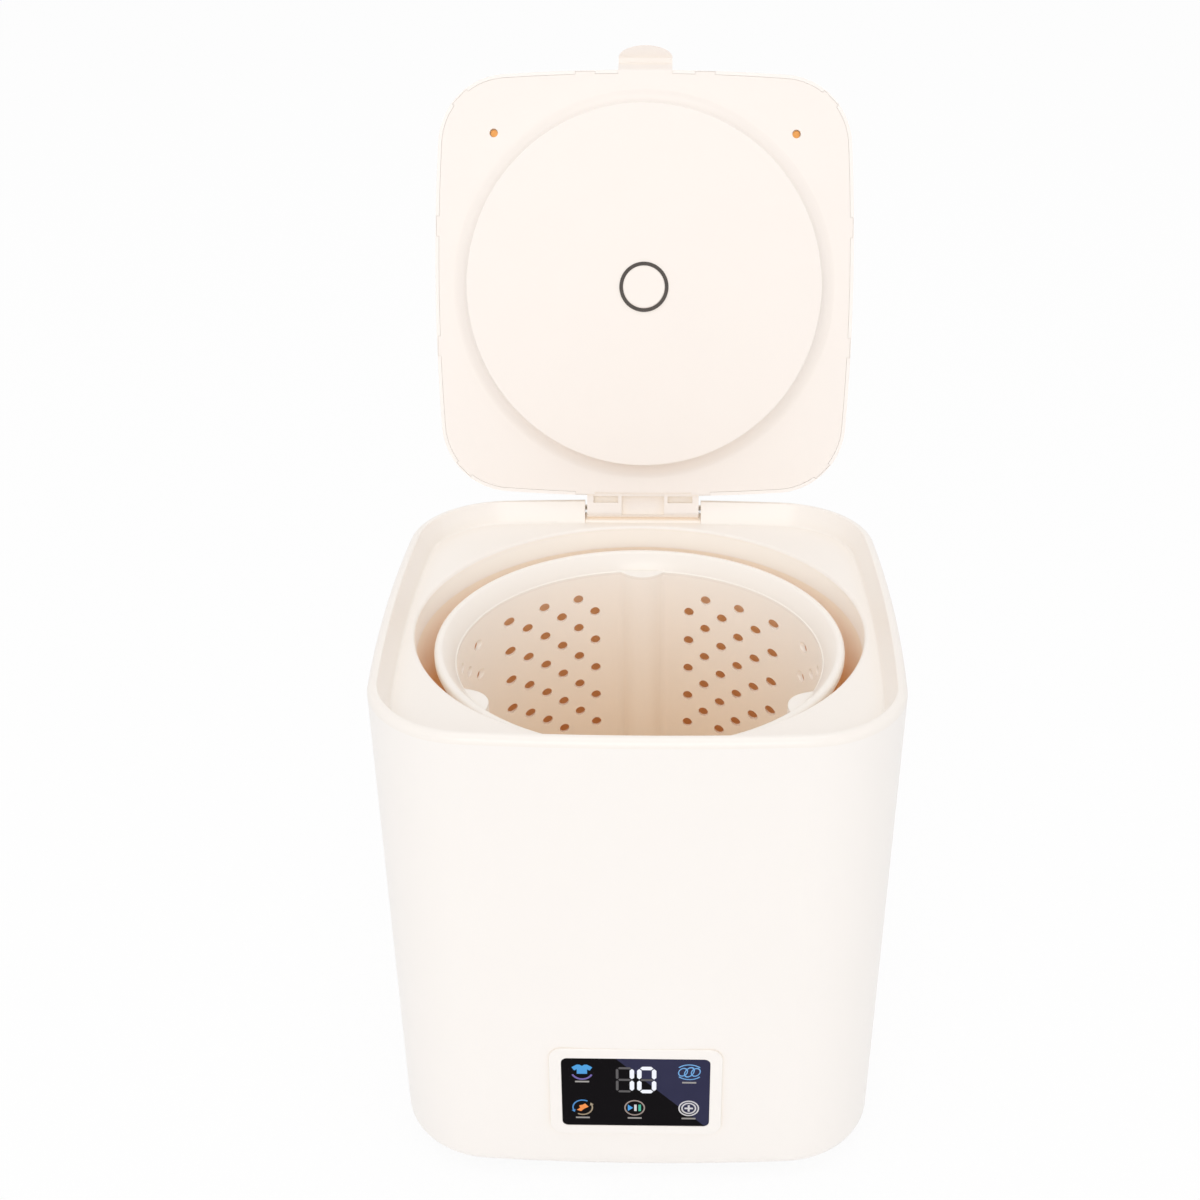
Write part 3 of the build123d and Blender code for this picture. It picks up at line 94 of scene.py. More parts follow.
class Finish:
    """A material of the machine: its shader, and a short way to add any node to it."""

    def __init__(self, name, colour, roughness, **constants):
        self.material = bpy.data.materials.new(name)
        self.material.use_nodes = True
        self.tree = self.material.node_tree
        self.shader = self.tree.nodes["Principled BSDF"]
        self.colour = colour
        self.roughness = roughness
        self.set("Base Color", (*colour, 1.0))
        self.set("Roughness", roughness)
        for socket, value in constants.items():
            self.set(socket.replace("_", " ").title().replace("Ior", "IOR"), value)

    def feed(self, socket, value):
        if isinstance(value, Field):
            self.tree.links.new(value.socket, socket)
        else:
            socket.default_value = value

    def set(self, socket, value):
        self.feed(self.shader.inputs[socket], value)

    def node(self, kind, settings, values, output=0):
        """Add a node: its settings first, then the values or links of its sockets."""
        made = self.tree.nodes.new(kind)
        for name, value in settings.items():
            setattr(made, name, value)
        for socket, value in values.items():
            self.feed(made.inputs[socket], value)
        return Field(self, made.outputs[output])

    def place(self, stretch=(1.0, 1.0, 1.0)):
        """The point on the object, in metres, stretched along its axes."""
        point = self.node("ShaderNodeTexCoord", {}, {}, "Object")
        return self.node("ShaderNodeMapping", {}, {"Vector": point, "Scale": stretch})

    def axis(self, name):
        """One coordinate of the point on the object, in metres."""
        return self.node("ShaderNodeSeparateXYZ", {}, {0: self.place()}, name)

    def noise(self, size, detail=2.0, stretch=(1.0, 1.0, 1.0)):
        """Cloudy noise whose patches are about the given size, in metres."""
        values = {"Vector": self.place(stretch), "Scale": 1.0 / size, "Detail": detail}
        return self.node("ShaderNodeTexNoise", {}, values)

    def ramp(self, value, low, high):
        """0 at the low value and 1 at the high one, and the same on beyond them."""
        return self.node("ShaderNodeMapRange", {}, {0: value, 1: low, 2: high})

    def mix(self, share, low, high):
        """One colour or the other, by share."""
        low, high = (side if isinstance(side, Field) else (*side, 1.0) for side in (low, high))
        return self.node("ShaderNodeMix", {"data_type": "RGBA"}, {0: share, 6: low, 7: high}, 2)

    def bump(self, height, depth):
        """Relief of the given depth, in metres."""
        relief = self.node("ShaderNodeBump", {}, {"Height": height, "Distance": depth})
        self.set("Normal", relief)

    def moulded(self, grain_size, grain_depth, reach, crevice_shade=(0.93, 0.84, 0.73), painted_glow=None):
        """Moulded plastic: a faint drift of colour and gloss, and a fine grain. Where walls stand
        within reach of each other, painted shade makes it warmer and darker; a glow colour, if
        given, adds painted light in those same places."""
        drift_size, drift_share = 0.09, 0.985
        gloss_size, gloss_range = 0.02, 0.08
        darker = [part * drift_share for part in self.colour]
        drift = self.mix(self.noise(drift_size, detail=1.0), darker, self.colour)
        occlusion = "ShaderNodeAmbientOcclusion"
        # Ambient occlusion: low in crevices, where the painted shade and painted light go, and 1
        # in the open.
        clear = self.node(occlusion, {"samples": 4}, {"Distance": reach}, "AO")
        self.set("Base Color", self.mix(clear, crevice_shade, drift))
        if painted_glow:
            self.set("Emission Color", self.mix(clear, painted_glow, (0, 0, 0)))
        gloss = self.noise(gloss_size) * gloss_range
        self.set("Roughness", gloss + (self.roughness - gloss_range / 2))
        self.bump(self.noise(grain_size), grain_depth)

    def cover(self, *names):
        """Put the material on CAD nodes."""
        for name in names:
            nodes[name].data.materials.clear()
            nodes[name].data.materials.append(self.material)


casing_plastic = Finish("casing_plastic", (0.978, 0.932, 0.892), 0.34, coat_weight=0.12)
# Painted shade where its walls stand close.
casing_plastic.moulded(grain_size=0.0009, grain_depth=0.00001, reach=0.008)
casing_plastic.cover("outer_casing", "control_bezel")

# Top deck: the rim, the sloping recess and the deck in one moulding of the same cream plastic,
# a little glossier, pressed down over the casing. Its skirt below the deck gets painted light,
# which lifts the shade on it.
deck_plastic = Finish(
    "deck_plastic", (0.970, 0.912, 0.855), 0.32, coat_weight=0.12, emission_strength=1.0,
)
# Painted shade where its walls stand close.
deck_plastic.moulded(grain_size=0.0012, grain_depth=0.000004, reach=0.010)
# Painted light on the skirt: none at the deck, full a little way below it and all the way down.
skirt_top = 0.3042
skirt_light_full = 0.3022
skirt_painted_light = (0.125, 0.130, 0.115)
on_skirt = deck_plastic.ramp(deck_plastic.axis("Z"), skirt_top, skirt_light_full)
deck_plastic.set("Emission Color", deck_plastic.mix(on_skirt, (0, 0, 0), skirt_painted_light))
deck_plastic.cover("top_deck")

# Hinge cove: a strip of the same plastic snapped into the back of the deck. It closes the slot
# under the hinge block and is hollowed round the knuckle, which turns in it with half a
# millimetre to spare.
def solid(name, mesh, finish, sharp_angle=None):
    """An object from a bmesh; with an angle, in degrees, it's smooth but for its sharp edges."""
    data = bpy.data.meshes.new(name)
    mesh.to_mesh(data)
    mesh.free()
    if sharp_angle:
        data.shade_smooth()
        data.set_sharp_from_angle(angle=math.radians(sharp_angle))
    data.materials.append(finish.material)
    made = bpy.data.objects.new(name, data)
    bpy.context.scene.collection.objects.link(made)
    return made


def raised(mesh, faces, way):
    """Extrude faces along a vector."""
    grown = bmesh.ops.extrude_face_region(mesh, geom=faces)
    far_end = [part for part in grown["geom"] if isinstance(part, bmesh.types.BMVert)]
    bmesh.ops.translate(mesh, vec=way, verts=far_end)


cove_plastic = Finish("cove_plastic", (0.970, 0.912, 0.855), 0.32, emission_strength=1.0)
# Painted shade in its hollow, and painted light there that lifts the dark slot under the hinge
# block.
cove_plastic.moulded(
    grain_size=0.0012, grain_depth=0.000004, reach=0.012, painted_glow=(0.20, 0.16, 0.13),
)
hinge_height = 0.311
hinge_place = 0.143
cove_radius = 0.0043
cove_half_width = 0.0381
cove_back = 0.1468
cove_front = 0.1385
cove_foot = 0.3049
cove_chamfer = 0.0012
cove_start_degrees = 270
cove_sweep_degrees = 48
cove_steps = 12
cove_arc = [
    math.radians(cove_start_degrees + cove_sweep_degrees * step / cove_steps)
    for step in range(cove_steps + 1)
]
cove_hollow = [Vector((math.cos(a), math.sin(a))) * cove_radius for a in cove_arc]
cove_side = [
    (cove_back, cove_foot), (cove_front, cove_foot),
    (cove_front + cove_chamfer, cove_foot + cove_chamfer),
    *[Vector((hinge_place, hinge_height)) + step for step in cove_hollow],
    (cove_back, hinge_height + cove_hollow[-1].y),
]
cove = bmesh.new()
cove_end = cove.faces.new([cove.verts.new((-cove_half_width, y, z)) for y, z in cove_side])
raised(cove, [cove_end], (2 * cove_half_width, 0, 0))
bmesh.ops.recalc_face_normals(cove, faces=cove.faces)
hinge_cove = solid("hinge_cove", cove, cove_plastic, sharp_angle=30)
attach(hinge_cove, "cabinet")

# Hinge pins and hidden screws: zinc-plated steel, with the drawn lines of the wire they are
# cut from.
zinc = Finish("zinc", (0.62, 0.63, 0.64), 0.34, metallic=1.0)
zinc.set("Roughness", zinc.noise(0.0006, stretch=(1.0, 1.0, 6.0)) * 0.20 + 0.29)
zinc.bump(zinc.noise(0.0004), 0.000006)
zinc.cover(
    "hinge_pin_left", "hinge_pin_right", "casing_screws", "tub_screws", "hub_screws",
    "impeller_screw", "clutch_bolts", "bracket_screw", "motor_bolts", "pulley_nut",
)

# Base pan: a plain grey-white plate, moulded, that closes the casing from below and carries all
# that stands on the floor of the machine.
pan_plastic = Finish("pan_plastic", (0.80, 0.78, 0.74), 0.5)
# Painted shade, a grey-brown, where its walls stand close.
pan_plastic.moulded(
    grain_size=0.0014, grain_depth=0.00003, reach=0.01, crevice_shade=(0.60, 0.56, 0.50),
)
pan_plastic.cover("base_pan", "drain_valve", "drain_spigot")

# Feet: black rubber pads with a matt, slightly dusty skin, pushed into the base pan.
foot_rubber = Finish("foot_rubber", (0.035, 0.035, 0.037), 0.8)
dust = foot_rubber.noise(0.004, detail=4.0)
foot_rubber.set("Base Color", foot_rubber.mix(dust, (0.028, 0.028, 0.03), (0.06, 0.058, 0.055)))
foot_rubber.bump(foot_rubber.noise(0.0007), 0.00004)
foot_rubber.cover(
    "foot_front_left", "foot_front_right", "foot_rear_left", "foot_rear_right", "shaft_seal",
)

# Outer tub: the water vessel under the deck, moulded plastic. Its colour is pale near its mouth
# and
# darker tan further down: painted shade, where less light reaches. It also has painted light,
# faint deep down and strongest near its mouth. Faint flow lines run up its wall, and its gasket is
# soft grey rubber.
tub_plastic = Finish("tub_plastic", (0.84, 0.57, 0.34), 0.45, emission_strength=1.0)
flow = tub_plastic.noise(0.004, detail=3.0, stretch=(1.0, 1.0, 0.08))
shaded_tan = tub_plastic.mix(flow, (0.78, 0.50, 0.29), (0.86, 0.60, 0.38))
shade_full_below, shade_gone_above = 0.245, 0.292
deep_painted_light, mouth_painted_light = (0.080, 0.027, 0.003), (0.22, 0.20, 0.17)
# Painted shade and painted light: pale and brighter near the mouth, tan and dim deeper down.
near_mouth = tub_plastic.ramp(tub_plastic.axis("Z"), shade_full_below, shade_gone_above)
tub_plastic.set("Base Color", tub_plastic.mix(near_mouth, shaded_tan, (0.94, 0.85, 0.74)))
tub_plastic.set("Emission Color", tub_plastic.mix(near_mouth, deep_painted_light, mouth_painted_light))
tub_plastic.bump(flow, 0.00004)
tub_plastic.cover("outer_tub")

gasket_rubber = Finish("gasket_rubber", (0.30, 0.29, 0.28), 0.7)
gasket_rubber.bump(gasket_rubber.noise(0.001), 0.00004)
gasket_shade = gasket_rubber.noise(0.006)
gasket_tones = (0.26, 0.25, 0.245), (0.34, 0.33, 0.32)
gasket_rubber.set("Base Color", gasket_rubber.mix(gasket_shade, *gasket_tones))
gasket_rubber.cover("tub_gasket", "motor_grommets", "drain_hose")

# Spin basket: the pierced drum in cream plastic. It is brightest under the rim and darker and
# warmer towards the floor, where less light reaches the wall: painted shade. A little painted
# light is added all over it.
basket_plastic = Finish("basket_plastic", (0.955, 0.885, 0.81), 0.4, emission_strength=1.0)
# Painted light: a faint glow all over the drum.
basket_plastic.set("Emission Color", (0.042, 0.040, 0.038, 1.0))
drum_low, drum_high = 0.17, 0.285
drum_shaded, drum_lit = (0.90, 0.76, 0.61), (0.968, 0.915, 0.86)
# Painted shade: darker and warmer towards the floor.
height = basket_plastic.ramp(basket_plastic.axis("Z"), drum_low, drum_high)
basket_plastic.set("Base Color", basket_plastic.mix(height, drum_shaded, drum_lit))
basket_plastic.set("Roughness", basket_plastic.noise(0.02) * 0.1 + 0.35)
basket_plastic.bump(basket_plastic.noise(0.0012), 0.000012)
basket_plastic.cover("spin_basket", "impeller")

# Balance ring: the heavy, glossy ring welded on the drum, filled with brine. Its funnel-shaped lip
# runs down to the mouth and caps the three hollow ribs of the drum.
ring_plastic = Finish("ring_plastic", (0.970, 0.920, 0.865), 0.33, coat_weight=0.15)
# Painted shade where its walls stand close.
ring_plastic.moulded(grain_size=0.0015, grain_depth=0.000004, reach=0.005)
ring_low, ring_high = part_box("balance_ring")
ring_radius = ring_high[0]
ring_top = ring_high[2]
ring_bore = 0.1115
ring_foot_radius = 0.1159
ring_shoulder = 0.0052
rim_flat = 0.0046
mouth_radius = 0.109
mouth_depth = 0.010
cap_thickness = 0.0022
mouth_edge = 0.0006
edge_corner = 0.3 * mouth_edge
lip_start, lip_end = 0.035, 0.10
rim_round = 0.0026
inner_round = 0.0012
slack = 1.01
same_place = 1e-5
rib_count = 3
rib_radius = 0.015
rib_centre = 0.1157
rib_blend = 0.0055
ring_steps = 540
mouth_level = ring_top - mouth_depth
slope = Vector((ring_radius - rim_flat - mouth_radius, mouth_depth))
hollow = Vector((mouth_radius, mouth_level))
mouth_band = [
    (0, -cap_thickness), (0, -mouth_edge), (edge_corner, -edge_corner), (mouth_edge, 0),
]
ring_profile = [
    *[hollow + Vector(step) for step in mouth_band],
    hollow + slope * lip_start + Vector((mouth_edge, 0)),
    hollow + slope * lip_end + Vector((edge_corner, 0)),
    (ring_radius - rim_flat, ring_top), (ring_radius, ring_top),
    (ring_radius, ring_top - ring_shoulder), (ring_foot_radius, ring_low[2]),
    (ring_bore, ring_low[2]), (ring_bore, mouth_level - cap_thickness),
]


def rib_reach(angle):
    """How far the edge of the mouth stands inside its circle, by the angle round the drum."""
    pitch = 2 * math.pi / rib_count
    turn = (angle - math.pi / 2 + pitch / 2) % pitch - pitch / 2
    spread = rib_radius**2 - (rib_centre * math.sin(turn)) ** 2
    if spread < 0:
        return 0
    bay = rib_centre * math.cos(turn) - math.sqrt(spread)
    blend = max(rib_blend - abs(bay - mouth_radius), 0) ** 2 / rib_blend / 4
    return mouth_radius - min(bay, mouth_radius) + blend


ring = bmesh.new()
corners = [ring.verts.new((radius, 0, level)) for radius, level in ring_profile]
sides = [ring.edges.new(pair) for pair in zip(corners, [*corners[1:], corners[0]])]
bmesh.ops.spin(
    ring, geom=[*corners, *sides], cent=(0, 0, 0), axis=(0, 0, 1), angle=2 * math.pi,
    steps=ring_steps, use_merge=True,
)
for vert in ring.verts:
    flat = vert.co.xy
    in_edge = flat.length < mouth_radius + slack * mouth_edge
    if in_edge and -slack * cap_thickness < vert.co.z - mouth_level < mouth_edge / 2:
        inward = rib_reach(math.atan2(flat.y, flat.x))
        vert.co.xy = flat * (1 - inward / flat.length)
for radius, offset in ((ring_radius, rim_round), (ring_radius - rim_flat, inner_round)):
    at_rim = {
        vert for vert in ring.verts
        if abs(vert.co.xy.length - radius) < same_place and abs(vert.co.z - ring_top) < same_place
    }
    rim = [edge for edge in ring.edges if at_rim.issuperset(edge.verts)]
    bmesh.ops.bevel(
        ring, geom=rim, offset=offset, segments=5, affect="EDGES", profile=0.5, material=-1,
    )
bmesh.ops.recalc_face_normals(ring, faces=ring.faces)
ring_skin = solid("ring_skin", ring, ring_plastic, sharp_angle=40)
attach(ring_skin, "basket")
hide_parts("balance_ring")

# Drive line under the drum: die-cast hub, clutch housing and pulleys, with the skin of the die.
cast_metal = Finish("cast_metal", (0.60, 0.61, 0.62), 0.45, metallic=1.0)
cast_metal.set("Roughness", cast_metal.noise(0.003, detail=4.0) * 0.3 + 0.35)
cast_metal.bump(cast_metal.noise(0.0012, detail=4.0), 0.00006)
cast_metal.cover(
    "basket_hub", "clutch_upper_housing", "clutch_lower_housing", "large_pulley", "small_pulley",
    "motor_end_cap",
)

# Shafts and bearings: ground bright steel, with the fine rings that grinding leaves.
ground_steel = Finish("ground_steel", (0.72, 0.72, 0.73), 0.16, metallic=1.0)
rings = ground_steel.noise(0.0006, stretch=(0.05, 0.05, 1.0))
ground_steel.set("Roughness", rings * 0.16 + 0.1)
ground_steel.bump(rings, 0.000004)
ground_steel.cover(
    "basket_shaft", "impeller_shaft", "motor_shaft", "upper_bearing", "lower_bearing",
)

# Motor: a drawn can in baked dark enamel with orange peel, on a bracket of pressed steel.
enamel = Finish("enamel", (0.11, 0.12, 0.135), 0.38, coat_weight=0.3)
enamel_tones = (0.09, 0.10, 0.115), (0.13, 0.14, 0.155)
enamel.set("Base Color", enamel.mix(enamel.noise(0.01, detail=3.0), *enamel_tones))
enamel.bump(enamel.noise(0.0012), 0.00004)
enamel.cover("motor_can")

pressed_steel = Finish("pressed_steel", (0.50, 0.51, 0.52), 0.4, metallic=1.0)
rolled = (1.0, 0.1, 1.0)
pressed_steel.set("Roughness", pressed_steel.noise(0.002, detail=4.0, stretch=rolled) * 0.25 + 0.3)
pressed_steel.bump(pressed_steel.noise(0.0008, stretch=rolled), 0.00001)
pressed_steel.cover("motor_bracket")

# Drive belt: a flat black rubber loop round both pulleys, ribbed lengthways.
belt_rubber = Finish("belt_rubber", (0.03, 0.03, 0.03), 0.75)
belt_ribs = belt_rubber.node(
    "ShaderNodeTexWave", {"bands_direction": "Z"}, {"Vector": belt_rubber.place(), "Scale": 200.0},
)
belt_rubber.bump(belt_ribs, 0.0003)
belt_rubber.set("Roughness", belt_rubber.noise(0.003) * 0.2 + 0.65)
belt_rubber.cover("drive_belt")

# Lid: a glossy outer shell snapped round a satin inner panel with the dished disc, the finger tab
# and the hinge block. Both are the cream plastic of the casing.
lid_plastic = Finish("lid_plastic", (0.962, 0.902, 0.852), 0.33, coat_weight=0.15)
# Painted shade where its walls stand close.
lid_plastic.moulded(grain_size=0.001, grain_depth=0.000004, reach=0.006)
lid_plastic.cover("lid_shell")

panel_plastic = Finish(
    "panel_plastic", (0.952, 0.880, 0.824), 0.36, coat_weight=0.08, emission_strength=1.0,
)
# Painted shade in its pockets and creases, with a little painted light there.
panel_plastic.moulded(
    grain_size=0.001, grain_depth=0.00001, reach=0.007, painted_glow=(0.04, 0.04, 0.035),
)
panel_plastic.cover("lid_inner_panel", "lid_cap")

# Cap seal: the black rubber ring round the cap in the middle of the lid.
seal_rubber = Finish("seal_rubber", (0.05, 0.04, 0.035), 0.55)
seal_rubber.bump(seal_rubber.noise(0.0008), 0.00003)
seal_shade = seal_rubber.noise(0.003)
seal_tones = (0.045, 0.035, 0.03), (0.085, 0.07, 0.06)
seal_rubber.set("Base Color", seal_rubber.mix(seal_shade, *seal_tones))
seal_rubber.cover("lid_cap_seal")

# Lid screws: two small screws at the bottom of their holes, yellow zinc, darkened to a deep
# orange: partly their colour, partly painted shade of the deep holes.
yellow_zinc = Finish("yellow_zinc", (0.80, 0.36, 0.08), 0.4, metallic=0.3)
zinc_shade = yellow_zinc.noise(0.0015)
yellow_zinc.set("Base Color", yellow_zinc.mix(zinc_shade, (0.74, 0.32, 0.07), (0.86, 0.42, 0.11)))
yellow_zinc.bump(yellow_zinc.noise(0.0005), 0.00001)
yellow_zinc.cover("lid_screws")

# Display glass: a dark pane with a glossy face, printed black from behind. In the corner beyond a
# slanting line from the top edge to the bottom right its colour is bluer: a painted reflection.
glass_low, glass_high = (Vector(corner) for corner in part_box("display_glass"))
glass_middle = (glass_low + glass_high) / 2
slant_offset = 0.0145
slant_blur = 0.0001
slant_at = glass_middle.x + glass_middle.z + slant_offset
black = (0.003, 0.002, 0.003)
reflection_tones = (0.027, 0.027, 0.066), (0.037, 0.037, 0.080)
smoked_glass = Finish("smoked_glass", black, 0.05, specular_ior_level=0.05)
# Painted reflection: a bluer tone beyond the slanting line.
beyond = smoked_glass.axis("X") + smoked_glass.axis("Z") - slant_at
reflection_share = smoked_glass.ramp(beyond, -slant_blur, slant_blur)
painted_reflection = smoked_glass.mix(smoked_glass.noise(0.03, detail=1.0), *reflection_tones)
smoked_glass.set("Base Color", smoked_glass.mix(1 - reflection_share, painted_reflection, black))
smoked_glass.cover("display_glass")

# Display symbols: printed windows in the black, lit from behind, so thin that a finger can't feel
# them. The number is a two-digit, seven-segment one. The signs below and beside it are plain
# pictures of a shirt, twisted cloth, a quick wash, start and stop, and spinning.
symbol_depth = 0.00008
weld_distance = 1e-7


def lit(name, low, high):
    """A lit print: one colour at the pane's lower edge, another at its upper one."""
    light = Finish(name, (0.02, 0.02, 0.02), 0.4, emission_strength=1.0)
    rise = light.ramp(light.axis("Z"), glass_low.z, glass_high.z)
    light.set("Emission Color", light.mix(rise, low, high))
    return light


def symbol(name, mesh, x, z, light):
    """Thicken a drawing made in x and y round its middle, and stand it at a place on the pane."""
    bmesh.ops.remove_doubles(mesh, verts=mesh.verts, dist=weld_distance)
    bmesh.ops.recalc_face_normals(mesh, faces=mesh.faces)
    raised(mesh, mesh.faces[:], (0, 0, symbol_depth))
    spot = Matrix.Translation((glass_middle.x + x, glass_low.y, glass_middle.z + z))
    upright = Matrix.Rotation(math.pi / 2, 4, "X")
    bmesh.ops.transform(mesh, matrix=spot @ upright, verts=mesh.verts)
    bmesh.ops.recalc_face_normals(mesh, faces=mesh.faces)
    piece = solid(name, mesh, light)
    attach(piece, "cabinet")


def outline(mesh, points):
    """Fill one closed outline."""
    mesh.faces.new([mesh.verts.new((x, y, 0)) for x, y in points])


def turned(points, angle, shift=(0, 0)):
    """Flat points turned round the middle by an angle, in degrees, and then shifted."""
    turn = Matrix.Rotation(math.radians(angle), 2)
    return [turn @ Vector(point) + Vector(shift) for point in points]


def arc(mesh, radius, width, start=0, sweep=360):
    """A band along an arc, drawn by turning its short end; angles in degrees."""
    short_end = turned([(radius - width / 2, 0), (radius + width / 2, 0)], start)
    ends = [mesh.verts.new((x, y, 0)) for x, y in short_end]
    end = mesh.edges.new(ends)
    step_angle = 9
    bmesh.ops.spin(
        mesh, geom=[*ends, end], cent=(0, 0, 0), axis=(0, 0, 1), angle=math.radians(sweep),
        steps=round(sweep / step_angle), use_merge=sweep == 360,
    )


digit_white = lit("digit_white", (0.86, 0.88, 0.95), (0.86, 0.88, 0.95))
digit_dim = lit("digit_dim", (0.050, 0.044, 0.046), (0.064, 0.058, 0.062))
digit_height = 0.0206
digit_width = 0.0112
digit_rise = 0.0099
digit_pitch = 0.0129
segment_width = 0.0026
segment_gap = 0.0010
upright_x = (digit_width - segment_width) / 2
level_y = (digit_height - segment_width) / 2
places = {
    "top": (0, level_y, 0), "middle": (0, 0, 0), "bottom": (0, -level_y, 0),
    "upper_left": (-upright_x, level_y / 2, 90), "lower_left": (-upright_x, -level_y / 2, 90),
    "upper_right": (upright_x, level_y / 2, 90), "lower_right": (upright_x, -level_y / 2, 90),
}
digits = {
    "tens": (-digit_pitch / 2, {"upper_right", "lower_right"}),
    "ones": (digit_pitch / 2, set(places) - {"middle"}),
}
prints = {"lit": (segment_width / 2, digit_white), "dim": (segment_width / 3.4, digit_dim)}
for digit, (digit_x, lit_segments) in digits.items():
    for state, (thick, light) in prints.items():
        drawing = bmesh.new()
        for segment, (x, y, turn) in places.items():
            if (segment in lit_segments) != (state == "lit"):
                continue
            reach = upright_x if turn == 0 else level_y / 2
            tip = reach - segment_gap / 2
            half = tip - thick
            upper = [(-tip, 0), (-half, thick), (half, thick)]
            bar = [*upper, *[(-across, -up) for across, up in upper]]
            outline(drawing, turned(bar, turn, (x, y)))
        symbol(f"digit_{digit}_{state}", drawing, digit_x, digit_rise, light)

shirt_blue = lit("shirt_blue", (0.02, 0.12, 0.45), (0.03, 0.33, 0.72))
basin_violet = lit("basin_violet", (0.10, 0.04, 0.22), (0.14, 0.10, 0.40))
cloth_blue = lit("cloth_blue", (0.02, 0.16, 0.45), (0.16, 0.42, 0.78))
arrow_blue = lit("arrow_blue", (0.03, 0.22, 0.55), (0.03, 0.22, 0.55))
arrow_grey = lit("arrow_grey", (0.30, 0.22, 0.12), (0.42, 0.36, 0.28))
flash_orange = lit("flash_orange", (0.86, 0.20, 0.02), (0.92, 0.36, 0.05))
ring_grey = lit("ring_grey", (0.27, 0.20, 0.17), (0.36, 0.30, 0.27))
start_blue = lit("start_blue", (0.03, 0.30, 0.72), (0.03, 0.30, 0.72))
stop_green = lit("stop_green", (0.02, 0.42, 0.27), (0.02, 0.42, 0.27))
sign_white = lit("sign_white", (0.58, 0.56, 0.57), (0.66, 0.65, 0.68))
mark_grey = lit("mark_grey", (0.27, 0.25, 0.235), (0.34, 0.32, 0.31))
side_x = 0.0312
upper_z = 0.0163
lower_z = -0.0121
start_x = -0.0006
sign_radius = 0.0057
line_width = 0.0008
mark_drop = 0.0081
mark_size = (0.0082, 0.0011)


def scaled(points):
    """Points drawn on a grid of half a millimetre."""
    grid = 0.0005
    return [(x * grid, y * grid) for x, y in points]


shirt = bmesh.new()
half_shirt = [(3, 10), (6, 10), (12, 6), (9, 1), (6, 3), (6, -4)]
outline(shirt, scaled([(0, 8), *half_shirt, *[(-x, y) for x, y in reversed(half_shirt)]]))
symbol("sign_shirt", shirt, -side_x, upper_z, shirt_blue)

basin = bmesh.new()
arc(basin, 1.08 * sign_radius, 1.4 * line_width, start=205, sweep=130)
symbol("sign_basin", basin, -side_x, upper_z, basin_violet)

fold_radius = 0.0033
fold_pitch = 0.0037
fold_width = 0.72
fold_lean = Matrix.Rotation(math.radians(-28), 4, "Z")
for number, fold_height in ((1, 0.95), (2, 1.18), (3, 0.95)):
    loop = bmesh.new()
    arc(loop, fold_radius, line_width)
    bmesh.ops.scale(loop, vec=(fold_width, fold_height, 1.0), verts=loop.verts)
    fold_place = Matrix.Translation(((number - 2) * fold_pitch, 0, 0))
    bmesh.ops.transform(loop, matrix=fold_place @ fold_lean, verts=loop.verts)
    symbol(f"sign_cloth_fold_{number}", loop, side_x, upper_z, cloth_blue)
hem_radius = 1.28 * sign_radius
hem_stretch = (1.05, 0.78, 1.0)
hem = bmesh.new()
for start in (38, 218):
    arc(hem, hem_radius, line_width, start, sweep=104)
bmesh.ops.scale(hem, vec=hem_stretch, verts=hem.verts)
symbol("sign_cloth_hem", hem, side_x, upper_z, cloth_blue)

bow_sweep = 140
head_half = 1.5 * line_width
head_length = 2.4 * line_width
inner, outer = sign_radius - head_half, sign_radius + head_half
head = [(inner, 0), (outer, 0), (sign_radius, head_length)]
for name, start, light in (("blue", 60, arrow_blue), ("grey", 240, arrow_grey)):
    bow = bmesh.new()
    arc(bow, sign_radius, line_width, start, bow_sweep)
    outline(bow, turned(head, start + bow_sweep))
    symbol(f"sign_quick_{name}", bow, -side_x, lower_z, light)
flash = bmesh.new()
outline(flash, scaled([(0, 4), (3, 6), (7, 1), (2, -2), (-2, -6), (-7, -4), (-3, -1), (-4, 3)]))
symbol("sign_quick_flash", flash, -side_x, lower_z, flash_orange)

start_ring = bmesh.new()
arc(start_ring, sign_radius, line_width)
symbol("sign_start_ring", start_ring, start_x, lower_z, ring_grey)
start_arrow = bmesh.new()
outline(start_arrow, scaled([(-8, 5), (-2, 0), (-8, -5)]))
symbol("sign_start_arrow", start_arrow, start_x, lower_z, start_blue)
for name, left, light in (("near", -0.6, sign_white), ("far", 4.4, stop_green)):
    bar = bmesh.new()
    outline(bar, scaled([(left, 5), (left + 3, 5), (left + 3, -5), (left, -5)]))
    symbol(f"sign_stop_{name}", bar, start_x, lower_z, light)

spin_sign = bmesh.new()
arc(spin_sign, sign_radius, line_width)
arc(spin_sign, 0.7 * sign_radius, 1.1 * line_width)
blade = scaled([(-5, 1.2), (-5, -1.2), (5, -1.2), (5, 1.2)])
for turn in (0, 90):
    outline(spin_sign, turned(blade, turn))
symbol("sign_spin", spin_sign, side_x, lower_z, sign_white)

marks = {
    "shirt": (-side_x, upper_z), "cloth": (side_x, upper_z), "quick": (-side_x, lower_z),
    "start": (start_x, lower_z), "spin": (side_x, lower_z),
}
mark_x, mark_y = (size / 2 for size in mark_size)
mark_corners = [(-mark_x, -mark_y), (mark_x, -mark_y), (mark_x, mark_y), (-mark_x, mark_y)]
for name, (x, z) in marks.items():
    mark = bmesh.new()
    outline(mark, mark_corners)
    symbol(f"touch_mark_{name}", mark, x, z - mark_drop, mark_grey)

# Control box and boards on the base pan: black plastic round green circuit boards.
box_plastic = Finish("box_plastic", (0.04, 0.04, 0.042), 0.55)
box_plastic.set("Roughness", box_plastic.noise(0.01) * 0.15 + 0.48)
box_plastic.bump(box_plastic.noise(0.0008), 0.00003)
box_plastic.cover("control_box", "control_box_cover", "power_inlet")

